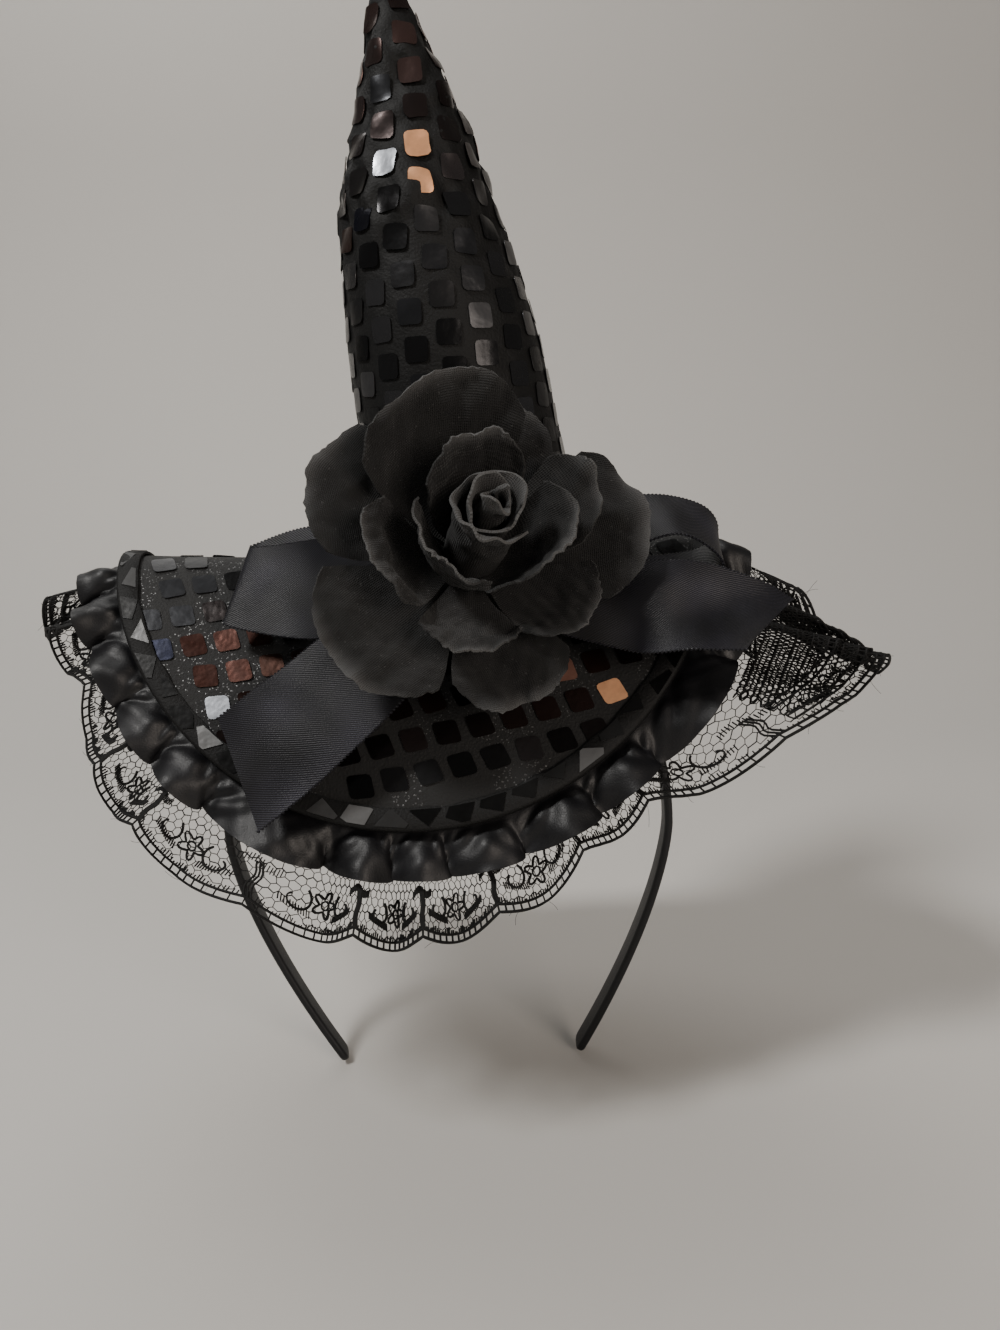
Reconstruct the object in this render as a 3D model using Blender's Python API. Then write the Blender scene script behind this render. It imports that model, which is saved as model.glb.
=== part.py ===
"""Witch hat headband: a small sequinned witch hat with a rose and a bow, on a satin headband.

The origin is the inner apex of the headband, where it rests on top of the head.
+X is the wearer's left, seen on the right from the front, -Y is the front and +Z is up.
Sizes are in millimetres. add_node turns them into metres.
"""

import math

import bmesh
import bpy
import numpy as np

MM = 0.001
WORLD_UP = np.array((0.0, 0.0, 1.0))

# Headband: a strip bent into an arch that narrows again towards its two tips.
BAND_WIDTH = 8.0
BAND_WALL = 2.5
BAND_SPAN = 131.0
BAND_HEIGHT = 150.0
BAND_WIDEST = 77.0
BAND_TIP_GAP = 72.0
BAND_LEFT_TWIST = 10.0
BAND_ARCH_STEPS = 9
BAND_LEG_STEPS = 6
BAND_LEG_CURVE = 1.5
BAND_CORNER = 0.3
# Each rounded tip is two smaller sections: their size, and how far they stand past the leg.
BAND_TIPS = ((0.8, 1.6), (0.35, 2.6))

# Brim: a cloth disc folded down to the front and back over a rounded ridge along X.
BRIM_RADIUS = 79.0
BRIM_CENTRE_X = -4.5
BRIM_TOP = 4.4
BRIM_WALL = 1.6
RIDGE_SLOPE = math.radians(52)
RIM_SLOPE = math.radians(60)
RIDGE_ROUND = 8.0
RISE_LEFT = 3.2
RISE_RIGHT = 4.0
BRIM_COLUMNS = 56
BRIM_ROWS = 3
SLOPE_TABLE_REACH = 1.2 * BRIM_RADIUS
SLOPE_TABLE_POINTS = 481

# Clearances between neighbours, and the walls of the thin cloths.
GAP = 0.35
BINDING_WIDTH = 4.5
BINDING_WALL = 0.8
FRILL_WALL = 1.0
RIBBON_WALL = 0.8
PETAL_WALL = 1.0

# Crown: sections of the leaning cone, seen from the front.
CROWN_WALL = 1.5
CROWN_HOLE_RADIUS = 22.0
CROWN_COLUMNS = 24
CROWN_ROWS = 9
CROWN_LIFT = 0.9
CROWN_SMOOTHING = 6
CROWN_LEAST_RADIUS = 0.4
CROWN_TIP_WALL = 4.5
CROWN_HOLLOW_SHARE = 0.97
CROWN_FIELDS = ("height", "centre_x", "radius")
CROWN_SECTIONS = [
    (-30.0, 15.5, 25.0),
    (3.5, 15.0, 25.0),
    (20.0, 12.5, 26.2),
    (34.5, 9.4, 26.3),
    (63.5, 5.5, 24.5),
    (94.5, 1.1, 19.0),
    (117.5, 0.0, 12.0),
    (139.5, -3.0, 4.5),
    (147.0, -4.0, 1.2),
]

# Frills: how far the satin and the lace reach past the rim, and how much they bend down.
FOLDS = 28
COLUMNS_PER_FOLD = 4
FOLD_RISE = 0.26
SATIN_TUCK = 5.0
LACE_TUCK = 4.0
SCALLOP_DEPTH = 3.0
FLAT_PAST_RIM = 1.5
LACE_ROWS = (0.38, 0.52, 0.86, 1.0)
LACE_PIERCED_ROWS = (2, 4)
LACE_DROOP = 0.09
FRILL_FIELDS = ("azimuth", "satin_reach", "lace_reach", "bend")
FRILL_SECTIONS = [
    (0.0, 12.0, 25.0, 38.0),
    (15.0, 12.0, 25.0, 35.0),
    (30.0, 13.0, 27.0, 20.0),
    (60.0, 13.0, 27.0, 5.0),
    (90.0, 13.0, 27.0, 0.0),
    (120.0, 13.0, 27.0, 5.0),
    (150.0, 13.0, 26.0, 15.0),
    (180.0, 12.0, 24.0, 25.0),
    (195.0, 12.0, 20.0, 10.0),
    (205.0, 11.0, 14.5, 0.0),
    (220.0, 12.0, 24.0, 0.0),
    (240.0, 12.0, 26.0, 0.0),
    (270.0, 12.0, 26.0, 0.0),
    (286.0, 12.0, 21.0, 0.0),
    (298.0, 11.0, 14.5, 0.0),
    (310.0, 11.0, 16.0, 0.0),
    (320.0, 13.0, 28.0, 0.0),
    (332.0, 14.0, 42.0, -10.0),
    (341.0, 14.0, 50.0, 5.0),
    (350.0, 13.0, 38.0, 32.0),
]

# Rose: petals around an axis that points to the front, a little up and to the right.
ROSE_BASE = (10.0, -35.2, 7.0)
ROSE_TILT = math.radians(22)
ROSE_TURN = math.radians(12)
ROSE_LEAN_RIGHT = 0.12
ROSE_LEAN_UP = 0.28
PETAL_BASE_RADIUS = 4.0
PETAL_COLUMNS = 7
PETAL_ROWS = 4
PETAL_CURL = 3.0
PETAL_CURL_START = 0.7
PETAL_CURL_OUT = 0.7
PETAL_WAIST = 0.86
PETAL_CORNER_CUT = 0.22
PETAL_FIELDS = ("name", "azimuth", "half_span", "reach", "rise", "level", "flare")
PETALS = [
    ("rose_petal_back_right", 4, 33, 40, 13, 0.0, 66),
    ("rose_petal_back_top", 74, 34, 33, 12, 0.0, 66),
    ("rose_petal_back_top_left", 147, 32, 39, 9, 0.0, 66),
    ("rose_petal_back_left", 217, 35, 40, 9, 0.0, 66),
    ("rose_petal_back_bottom", 282, 28, 37, 8, 0.0, 66),
    ("rose_petal_hood", 104, 44, 33, 20, 1.4, 80),
    ("rose_petal_left", 190, 36, 25, 19, 1.4, 80),
    ("rose_petal_lip", 259, 30, 27, 16, 1.4, 80),
    ("rose_petal_low_right", 318, 26, 30, 15, 1.4, 78),
    ("rose_petal_right", 15, 28, 26, 20, 1.4, 80),
    ("rose_petal_inner_left", 215, 56, 16, 24, 2.8, 88),
    ("rose_petal_inner_right", 333, 56, 17, 25, 2.8, 88),
    ("rose_petal_inner_top", 95, 54, 15, 24, 2.8, 88),
]
BUD_INNER_RADIUS = 2.0
BUD_OUTER_RADIUS = 7.2
BUD_TURNS = 1.9
BUD_STEPS = 24
BUD_LEVEL = 5.1
BUD_RISE = 23.0
BUD_WALL = 1.1
BUD_ROWS = 2
BUD_OUTER_DROP = 4.0
BUD_RIM_WAVE = 1.0
BUD_WAVES_PER_TURN = 1.5
BUD_FLARE = 0.16

# Bow: each row holds upper_x, upper_y, upper_z and lower_x, lower_y, lower_z, which are
# one point on the ribbon's upper edge and one on its lower edge.
RIBBON_STEPS = 3
LOOP_LEFT = [
    (6.0, -27.6, 10.0, 6.0, -30.6, -2.0),
    (-12.0, -25.5, 15.0, -12.0, -29.5, -7.0),
    (-30.0, -19.5, 15.0, -31.0, -26.5, -7.5),
    (-43.0, -18.0, 11.5, -49.5, -26.0, -6.5),
    (-44.0, -20.0, 10.5, -50.0, -28.5, -8.0),
    (-30.0, -22.5, 12.0, -31.0, -30.5, -11.5),
    (-12.0, -28.0, 14.0, -12.0, -32.5, -9.0),
    (6.0, -28.9, 10.0, 6.0, -32.0, -2.0),
]
LOOP_RIGHT = [
    (14.0, -27.6, 10.0, 14.0, -30.6, -2.0),
    (32.0, -20.5, 17.0, 32.0, -28.0, -1.0),
    (48.0, -12.5, 18.5, 48.0, -26.0, 6.0),
    (62.0, -12.0, 18.5, 62.0, -26.5, 10.0),
    (72.0, -13.0, 15.0, 71.0, -27.0, 6.0),
    (75.0, -14.0, 8.5, 74.0, -27.0, 0.0),
    (68.0, -14.0, 4.0, 66.0, -27.0, -6.0),
    (50.0, -15.0, 3.5, 48.0, -28.0, -9.0),
    (32.0, -24.0, 7.0, 32.0, -30.5, -9.0),
    (14.0, -28.9, 10.0, 14.0, -32.0, -2.0),
]
TAIL_LEFT = [
    (16.0, -30.4, 10.0, 16.0, -33.4, -2.0),
    (4.0, -30.7, 9.0, 7.0, -35.2, -9.0),
    (-18.0, -34.0, -5.0, -3.0, -43.0, -21.0),
    (-36.0, -38.0, -17.0, -20.0, -50.0, -36.0),
    (-51.0, -45.0, -27.0, -41.0, -58.0, -51.0),
]
TAIL_RIGHT = [
    (4.0, -32.0, 10.0, 4.0, -35.6, -3.0),
    (20.0, -30.9, 11.0, 20.0, -36.0, -7.0),
    (37.0, -29.0, 8.5, 37.0, -38.0, -13.0),
    (54.0, -30.5, 4.5, 52.0, -43.0, -15.5),
    (72.0, -31.0, 2.0, 64.0, -45.0, -15.5),
    (90.5, -31.0, -6.5, 75.5, -45.0, -15.5),
]

SHARP_ANGLE = math.radians(50)

# Colours are linear: name, colour, roughness and metallic.
MATERIALS = {
    "satin": ((0.010, 0.010, 0.012, 1.0), 0.35, 0.0),
    "sequin_cloth": ((0.014, 0.013, 0.013, 1.0), 0.40, 0.1),
    "ribbon": ((0.011, 0.011, 0.014, 1.0), 0.38, 0.0),
    "lace": ((0.012, 0.012, 0.012, 1.0), 0.80, 0.0),
    "rose_cloth": ((0.009, 0.009, 0.010, 1.0), 0.85, 0.0),
}


def clear_scene():
    for item in list(bpy.data.objects):
        bpy.data.objects.remove(item, do_unlink=True)


def material(name):
    made = bpy.data.materials.get(name)
    if made:
        return made
    made = bpy.data.materials.new(name)
    made.use_nodes = True
    shader = made.node_tree.nodes["Principled BSDF"]
    colour, roughness, metallic = MATERIALS[name]
    shader.inputs["Base Color"].default_value = colour
    shader.inputs["Roughness"].default_value = roughness
    shader.inputs["Metallic"].default_value = metallic
    return made


def add_node(name, points, faces, finish):
    """One named object with its own mesh, its faces turned outwards."""
    mesh = bpy.data.meshes.new(name)
    mesh.from_pydata([tuple(p * MM for p in point) for point in points], [], faces)
    work = bmesh.new()
    work.from_mesh(mesh)
    bmesh.ops.recalc_face_normals(work, faces=work.faces)
    work.to_mesh(mesh)
    work.free()
    mesh.shade_smooth()
    mesh.set_sharp_from_angle(angle=SHARP_ANGLE)
    mesh.materials.append(material(finish))
    thing = bpy.data.objects.new(name, mesh)
    bpy.context.scene.collection.objects.link(thing)
    return thing


def unit(vectors):
    return vectors / np.linalg.norm(vectors, axis=-1, keepdims=True)


def smooth(rows, steps):
    """Rows of numbers made finer by a Catmull-Rom curve through them."""
    rows = np.asarray(rows, float)
    last = len(rows) - 1
    finer = []
    for i in range(last):
        p0, p1, p2, p3 = (rows[min(max(i + k, 0), last)] for k in (-1, 0, 1, 2))
        for step in range(steps):
            t = step / steps
            bend = 2 * p0 - 5 * p1 + 4 * p2 - p3
            twist = 3 * p1 - p0 - 3 * p2 + p3
            finer.append(0.5 * (2 * p1 + (p2 - p0) * t + bend * t ** 2 + twist * t ** 3))
    finer.append(rows[-1])
    return np.array(finer)


def sheet_solid(grid, wall, ring=False, pierced=()):
    """Points and faces of a cloth wall around a grid of middle points.

    The grid has rows and columns. A ring joins its last column to its first.
    The cells named in pierced are cut through. Each cell is split along the same
    diagonal on both sides, so that neighbouring sheets of one shape stay apart.
    """
    rows, columns = grid.shape[:2]
    if ring:
        along = np.roll(grid, -1, axis=1) - np.roll(grid, 1, axis=1)
    else:
        along = np.gradient(grid, axis=1)
    across = np.gradient(grid, axis=0)
    normal = unit(np.cross(along, across))
    points = np.concatenate([(grid + normal * wall / 2).reshape(-1, 3),
                             (grid - normal * wall / 2).reshape(-1, 3)])
    back = rows * columns
    faces = []
    edges = set()
    for r in range(rows - 1):
        for c in range(columns if ring else columns - 1):
            if (r, c) in pierced:
                continue
            d = (c + 1) % columns
            face = (r * columns + c, r * columns + d, (r + 1) * columns + d, (r + 1) * columns + c)
            for corners in (face[:3], (face[0],) + face[2:]):
                faces.append(corners)
                faces.append(tuple(back + i for i in reversed(corners)))
            edges.update(zip(face, face[1:] + face[:1]))
    for a, b in sorted(edges):
        if (b, a) not in edges:
            faces.append((b, a, back + a, back + b))
    return points, faces


def swept_solid(rings):
    """Points and faces of a bar through rings of equal length, closed at both ends."""
    rings = np.asarray(rings)
    count, sides = rings.shape[:2]
    faces = [tuple(range(sides)), tuple((count - 1) * sides + k for k in reversed(range(sides)))]
    for i in range(count - 1):
        for k in range(sides):
            n = (k + 1) % sides
            faces.append((i * sides + k, (i + 1) * sides + k, (i + 1) * sides + n, i * sides + n))
    return rings.reshape(-1, 3), faces


def turned_ring(rings):
    """Points and faces of a closed section carried once round a closed path."""
    rings = np.asarray(rings)
    count, sides = rings.shape[:2]
    faces = []
    for i in range(count):
        j = (i + 1) % count
        for k in range(sides):
            n = (k + 1) % sides
            faces.append((i * sides + k, j * sides + k, j * sides + n, i * sides + n))
    return rings.reshape(-1, 3), faces


def band_side():
    """Middle line of half the headband, from its apex to a tip: x, z and the share of the leg."""
    half = (BAND_SPAN - BAND_WALL) / 2
    inset = half - (BAND_TIP_GAP + BAND_WALL) / 2
    line = []
    for i in range(BAND_ARCH_STEPS):
        turn = math.pi / 2 * i / BAND_ARCH_STEPS
        rise = (BAND_WIDEST + BAND_WALL / 2) * math.cos(turn)
        line.append((half * math.sin(turn), rise - BAND_WIDEST, 0.0))
    for i in range(BAND_LEG_STEPS + 1):
        share = i / BAND_LEG_STEPS
        drop = (BAND_HEIGHT - BAND_WIDEST) * share
        line.append((half - inset * share ** BAND_LEG_CURVE, -BAND_WIDEST - drop, share))
    return line


def headband():
    side = band_side()
    line = [(-x, z, share) for x, z, share in reversed(side)] + side[1:]
    places = np.array([(x, 0.0, z) for x, z, _ in line])
    heading = unit(np.gradient(places, axis=0))
    corner = BAND_CORNER
    outline = [(1, -corner), (1, corner), (1 - corner, 1), (corner - 1, 1),
               (-1, corner), (-1, -corner), (corner - 1, -1), (1 - corner, -1)]
    rings = []
    for (x, _, share), place, ahead in zip(line, places, heading):
        twist = math.radians(BAND_LEFT_TWIST) * share if x < 0 else 0.0
        outward = unit(np.cross(ahead, (0.0, 1.0, 0.0))) * -1
        wide = np.array((0.0, 1.0, 0.0)) * math.cos(twist) - outward * math.sin(twist)
        thick = outward * math.cos(twist) + np.array((0.0, 1.0, 0.0)) * math.sin(twist)
        rings.append([place + wide * w * BAND_WIDTH / 2 + thick * t * BAND_WALL / 2
                      for w, t in outline])
    for ring, ahead, end in ((rings[0], -heading[0], 0), (rings[-1], heading[-1], len(rings))):
        middle = np.mean(ring, axis=0)
        tips = [[middle + (p - middle) * size + ahead * reach for p in ring]
                for size, reach in BAND_TIPS]
        if end:
            rings = rings + tips
        else:
            rings = tips[::-1] + rings
    add_node("headband", *swept_solid(rings), "satin")


def brim_slope_table():
    """Arc length down the front or back of the brim, with its depth and its drop."""
    arc = np.linspace(0, SLOPE_TABLE_REACH, SLOPE_TABLE_POINTS)
    slope = RIDGE_SLOPE * (1 - np.exp(-arc / RIDGE_ROUND))
    slope = slope + (RIM_SLOPE - RIDGE_SLOPE) * arc / BRIM_RADIUS
    step = arc[1]
    depth = np.concatenate([[0], np.cumsum(np.cos(slope[:-1])) * step])
    drop = np.concatenate([[0], np.cumsum(np.sin(slope[:-1])) * step])
    return arc, depth, drop


ARC, DEPTH, DROP = brim_slope_table()


def ridge_height(along):
    rise = np.where(along < 0, RISE_LEFT, RISE_RIGHT)
    return BRIM_TOP + rise * (along / BRIM_RADIUS) ** 2


def brim_point(along, down):
    """A point on the brim's upper face: along the ridge, and down the front (-) or back (+)."""
    depth = np.interp(abs(down), ARC, DEPTH)
    drop = np.interp(abs(down), ARC, DROP)
    return np.array((BRIM_CENTRE_X + along, math.copysign(depth, down),
                     ridge_height(along) - drop))


def brim_height(x, y):
    return float(ridge_height(x - BRIM_CENTRE_X) - np.interp(abs(y), DEPTH, DROP))


def brim_down(y):
    """The arc length down the brim that lies above a depth y."""
    return math.copysign(np.interp(abs(y), DEPTH, ARC), y)


def rim_frame(index):
    """The rim's point, outward direction and upward direction at one brim column."""
    turn = 2 * math.pi * index / BRIM_COLUMNS
    across = np.array((math.cos(turn), math.sin(turn)))
    side = np.array((-across[1], across[0]))
    edge = brim_point(*(across * BRIM_RADIUS))
    outward = unit(edge - brim_point(*(across * (BRIM_RADIUS - 1.0))))
    ahead = (brim_point(*(across * BRIM_RADIUS + side)) - brim_point(*(across * BRIM_RADIUS - side)))
    upward = unit(np.cross(outward, ahead))
    return edge, outward, upward


def brim():
    outer = [rim_frame(i)[0] for i in range(BRIM_COLUMNS)]
    grid = []
    for row in range(BRIM_ROWS + 1):
        share = row / BRIM_ROWS
        line = []
        for i in range(BRIM_COLUMNS):
            turn = 2 * math.pi * i / BRIM_COLUMNS
            hole_x = CROWN_SECTIONS[1][1] + CROWN_HOLE_RADIUS * math.cos(turn)
            hole_y = CROWN_HOLE_RADIUS * math.sin(turn)
            hole = np.array((hole_x - BRIM_CENTRE_X, brim_down(hole_y)))
            rim = BRIM_RADIUS * np.array((math.cos(turn), math.sin(turn)))
            line.append(brim_point(*(hole + (rim - hole) * share)))
        grid.append(line)
    grid[-1] = outer
    grid = np.array(grid)
    along = np.roll(grid, -1, axis=1) - np.roll(grid, 1, axis=1)
    normal = unit(np.cross(np.gradient(grid, axis=0), along))
    add_node("brim", *sheet_solid(grid - normal * BRIM_WALL / 2, BRIM_WALL, ring=True), "sequin_cloth")


def brim_binding():
    out = GAP + BINDING_WALL
    low = -BRIM_WALL - GAP
    section = [(-BINDING_WIDTH, out), (out, out), (out, low - BINDING_WALL),
               (-BINDING_WIDTH, low - BINDING_WALL), (-BINDING_WIDTH, low), (GAP, low),
               (GAP, GAP), (-BINDING_WIDTH, GAP)]
    rings = []
    for i in range(BRIM_COLUMNS):
        edge, outward, upward = rim_frame(i)
        rings.append([edge + outward * o + upward * u for o, u in section])
    add_node("brim_binding", *turned_ring(rings), "sequin_cloth")


def frill_frame(column):
    """The rim's frame at a frill column, halfway between two brim columns where need be."""
    per = FOLDS * COLUMNS_PER_FOLD // BRIM_COLUMNS
    before = rim_frame(column // per)
    if column % per == 0:
        return before
    after = rim_frame((column // per + 1) % BRIM_COLUMNS)
    share = (column % per) / per
    edge, outward, upward = (a + (b - a) * share for a, b in zip(before, after))
    return edge, unit(outward), unit(upward)


def frill_size(column, field):
    """One of the frill table's fields at a column, read between the table's azimuths."""
    table = np.array(FRILL_SECTIONS + [(360.0,) + FRILL_SECTIONS[0][1:]])
    azimuth = 360.0 * column / (FOLDS * COLUMNS_PER_FOLD)
    return float(np.interp(azimuth, table[:, 0], table[:, FRILL_FIELDS.index(field)]))


def frill_point(column, past, level):
    """A frill's middle point: how far past the rim, and its level below the brim's upper face."""
    edge, outward, upward = frill_frame(column)
    bend = math.radians(frill_size(column, "bend"))
    free = max(past - FLAT_PAST_RIM, 0.0)
    place = edge + outward * min(past, FLAT_PAST_RIM)
    place = place + unit(outward * math.cos(bend) - WORLD_UP * math.sin(bend)) * free
    wave = FOLD_RISE * free * math.cos(2 * math.pi * column / COLUMNS_PER_FOLD)
    return place + upward * (wave - level)


def satin_ruffle():
    level = BRIM_WALL + 2 * GAP + BINDING_WALL + FRILL_WALL / 2
    columns = range(FOLDS * COLUMNS_PER_FOLD)
    grid = []
    for c in columns:
        rows = (-SATIN_TUCK, FLAT_PAST_RIM, frill_size(c, "satin_reach"))
        grid.append([frill_point(c, past, level) for past in rows])
    solid = sheet_solid(np.array(grid).transpose(1, 0, 2), FRILL_WALL, ring=True)
    add_node("satin_ruffle", *solid, "satin")


def lace_trim():
    """The lace lies under the satin as far as the satin's edge, and is pierced beyond it."""
    level = BRIM_WALL + 4 * GAP + BINDING_WALL + FRILL_WALL * 1.5
    columns = range(FOLDS * COLUMNS_PER_FOLD)
    grid = []
    for c in columns:
        satin = frill_size(c, "satin_reach")
        lace = frill_size(c, "lace_reach")
        rows = [-LACE_TUCK, FLAT_PAST_RIM, satin] + [satin + (lace - satin) * s for s in LACE_ROWS]
        rows[-1] += SCALLOP_DEPTH * math.sin(math.pi * (c % COLUMNS_PER_FOLD) / COLUMNS_PER_FOLD)
        grid.append([frill_point(c, past, level + LACE_DROOP * max(past, 0.0)) for past in rows])
    pierced = {(r, c) for r in LACE_PIERCED_ROWS for c in columns if c % 2}
    solid = sheet_solid(np.array(grid).transpose(1, 0, 2), FRILL_WALL, ring=True, pierced=pierced)
    add_node("lace_trim", *solid, "lace")


def crown():
    """A hollow cone, open below, whose lower edge follows the brim."""
    table = smooth(CROWN_SECTIONS, CROWN_SMOOTHING)
    heights = table[:, CROWN_FIELDS.index("height")]
    centres = table[:, CROWN_FIELDS.index("centre_x")]
    radii = table[:, CROWN_FIELDS.index("radius")]
    tip = CROWN_SECTIONS[-1][0]
    base_x, base_radius = CROWN_SECTIONS[1][1:]

    def ring(share, inset):
        top = tip - CROWN_TIP_WALL * inset / CROWN_WALL
        line = []
        for k in range(CROWN_COLUMNS):
            turn = 2 * math.pi * k / CROWN_COLUMNS
            reach = base_radius - inset
            base = brim_height(base_x + reach * math.cos(turn), reach * math.sin(turn)) + CROWN_LIFT
            height = base + (top - base) * share
            radius = max(np.interp(height, heights, radii) - inset, CROWN_LEAST_RADIUS)
            centre = np.interp(height, heights, centres)
            line.append((centre + radius * math.cos(turn), radius * math.sin(turn), height))
        return line

    shares = [i / CROWN_ROWS for i in range(CROWN_ROWS + 1)]
    inner_shares = shares[:-1] + [CROWN_HOLLOW_SHARE]
    rings = [ring(s, CROWN_WALL) for s in reversed(inner_shares)] + [ring(s, 0.0) for s in shares]
    add_node("crown", *swept_solid(rings), "sequin_cloth")


def rose_frame():
    """The rose's right, up and forward directions."""
    forward = np.array((math.sin(ROSE_TURN) * math.cos(ROSE_TILT),
                        -math.cos(ROSE_TURN) * math.cos(ROSE_TILT), math.sin(ROSE_TILT)))
    right = unit(np.cross((0.0, 0.0, 1.0), forward))
    return right, np.cross(forward, right), forward


def rose_point(turn, radius, level):
    right, up, forward = rose_frame()
    across = right * math.cos(turn) + up * math.sin(turn)
    lean = right * ROSE_LEAN_RIGHT + up * ROSE_LEAN_UP
    return np.array(ROSE_BASE) + across * radius + (forward + lean) * level


def petal(name, azimuth, half_span, reach, rise, level, flare):
    """A cupped petal that opens outwards, with a rounded rim that curls back."""
    flare = math.radians(flare)
    grid = []
    for row in range(PETAL_ROWS + 1):
        line = []
        for column in range(PETAL_COLUMNS + 1):
            side = 2 * column / PETAL_COLUMNS - 1
            share = row / PETAL_ROWS * (1 - PETAL_CORNER_CUT * abs(side) ** 3)
            lean = flare * share
            radius = PETAL_BASE_RADIUS + (reach - PETAL_BASE_RADIUS) * math.sin(lean) / math.sin(flare)
            height = level + rise * (1 - math.cos(lean)) / (1 - math.cos(flare))
            past = max(0.0, share - PETAL_CURL_START) / (1 - PETAL_CURL_START)
            curl = PETAL_CURL * past ** 2
            spread = PETAL_WAIST + (1 - PETAL_WAIST) * math.sin(math.pi * share)
            turn = math.radians(azimuth + half_span * side * spread)
            line.append(rose_point(turn, radius + curl * PETAL_CURL_OUT, height - curl))
        grid.append(line)
    add_node(name, *sheet_solid(np.array(grid), PETAL_WALL), "rose_cloth")


def rose_bud():
    """A strip of petal cloth rolled up around the rose's axis."""
    grid = []
    for row in range(BUD_ROWS + 1):
        up = row / BUD_ROWS
        line = []
        for i in range(BUD_STEPS + 1):
            share = i / BUD_STEPS
            turn = 2 * math.pi * BUD_TURNS * share
            radius = BUD_INNER_RADIUS + (BUD_OUTER_RADIUS - BUD_INNER_RADIUS) * share
            wave = BUD_RIM_WAVE * math.cos(BUD_WAVES_PER_TURN * turn)
            top = BUD_RISE - BUD_OUTER_DROP * share + wave
            line.append(rose_point(turn, radius * (1 + BUD_FLARE * up), BUD_LEVEL + top * up))
        grid.append(line)
    add_node("rose_bud", *sheet_solid(np.array(grid), BUD_WALL), "rose_cloth")


def ribbon(name, rows):
    """A satin strip between the two edges that its table gives."""
    finer = smooth(rows, RIBBON_STEPS)
    grid = np.stack([finer[:, 0:3], finer[:, 3:6]])
    add_node(name, *sheet_solid(grid, RIBBON_WALL), "ribbon")


def build():
    clear_scene()
    headband()
    brim()
    brim_binding()
    crown()
    satin_ruffle()
    lace_trim()
    ribbon("bow_loop_left", LOOP_LEFT)
    ribbon("bow_loop_right", LOOP_RIGHT)
    ribbon("bow_tail_left", TAIL_LEFT)
    ribbon("bow_tail_right", TAIL_RIGHT)
    for row in PETALS:
        petal(**dict(zip(PETAL_FIELDS, row)))
    rose_bud()


build()
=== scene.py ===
"""Dress the witch hat headband: sequinned hat, satin and lace frills, fabric rose and ribbon bow.

Shapes are worked out in millimetres, and mesh_piece turns them into metres.
+X is on the right seen from the front, -Y is the front and +Z is up.
"""

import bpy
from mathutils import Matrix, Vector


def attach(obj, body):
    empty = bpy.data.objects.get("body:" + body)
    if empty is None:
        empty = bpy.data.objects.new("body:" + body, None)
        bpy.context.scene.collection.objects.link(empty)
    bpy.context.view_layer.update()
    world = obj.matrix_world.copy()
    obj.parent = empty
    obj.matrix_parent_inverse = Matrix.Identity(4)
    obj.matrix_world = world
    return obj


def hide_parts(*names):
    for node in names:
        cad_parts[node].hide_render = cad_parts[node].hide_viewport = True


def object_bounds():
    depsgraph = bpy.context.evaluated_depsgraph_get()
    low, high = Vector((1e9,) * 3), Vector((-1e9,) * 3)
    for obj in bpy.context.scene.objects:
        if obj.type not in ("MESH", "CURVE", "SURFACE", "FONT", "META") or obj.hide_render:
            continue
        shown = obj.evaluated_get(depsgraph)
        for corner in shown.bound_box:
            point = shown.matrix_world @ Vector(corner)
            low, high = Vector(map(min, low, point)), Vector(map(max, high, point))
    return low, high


bl_info = {
    "name": "Witch Hat Headband",
    "version": (1, 0, 0),
    "blender": (4, 5, 0),
    "location": "View3D > Sidebar > Hat",
    "description": "Makes a sequinned witch hat on a headband, with frills, a rose and a bow",
    "category": "Add Mesh",
}

import math

import bmesh
import bpy
import numpy as np
from mathutils import Matrix, Vector

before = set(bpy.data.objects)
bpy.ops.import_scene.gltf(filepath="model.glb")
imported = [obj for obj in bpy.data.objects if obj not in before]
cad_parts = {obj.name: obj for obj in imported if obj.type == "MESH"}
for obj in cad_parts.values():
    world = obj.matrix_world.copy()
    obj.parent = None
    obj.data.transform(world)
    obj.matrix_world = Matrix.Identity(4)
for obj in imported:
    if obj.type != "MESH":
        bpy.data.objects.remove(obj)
CAD_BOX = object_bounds()

MM = 0.001
BODY = "root"
WORLD_UP = np.array((0.0, 0.0, 1.0))
SHARP_ANGLE = math.radians(50)

# Camera, fitted to a picture of 1000 by 1330 pixels.
PICTURE_WIDTH = 1000.0
PICTURE_HEIGHT = 1330.0
FOCAL_PIXELS = 1000.0
SENSOR = 36.0
CAMERA_PLACE = (17.0, -275.0, 40.5)
CAMERA_PITCH = math.radians(14)
CAMERA_ROLL = math.radians(2.5)

# Headband.
BAND_WIDTH = 8.0
BAND_WALL = 2.5
BAND_SPAN = 131.0
BAND_HEIGHT = 150.0
BAND_WIDEST = 77.0
BAND_TIP_GAP = 72.0
BAND_LEFT_TWIST = 10.0
BAND_LEG_CURVE = 1.5
BAND_TIP_REACH = 2.6
BAND_TIP_ANGLES = (20, 40, 58, 74, 85)
BAND_CORNER = 0.55
BAND_SEAM = 0.12
BAND_SEAM_PLACE = 0.82
BAND_SEAM_WIDTH = 0.10

# Brim: a disc folded down to the front and back over a rounded ridge along X.
BRIM_RADIUS = 79.0
BRIM_CENTRE_X = -4.5
BRIM_TOP = 4.4
BRIM_WALL = 1.6
RIDGE_SLOPE = math.radians(52)
RIM_SLOPE = math.radians(60)
RIDGE_ROUND = 8.0
RISE_LEFT = 3.2
RISE_RIGHT = 4.0
GAP = 0.35
BINDING_WIDTH = 4.5
BINDING_WALL = 0.8

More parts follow.
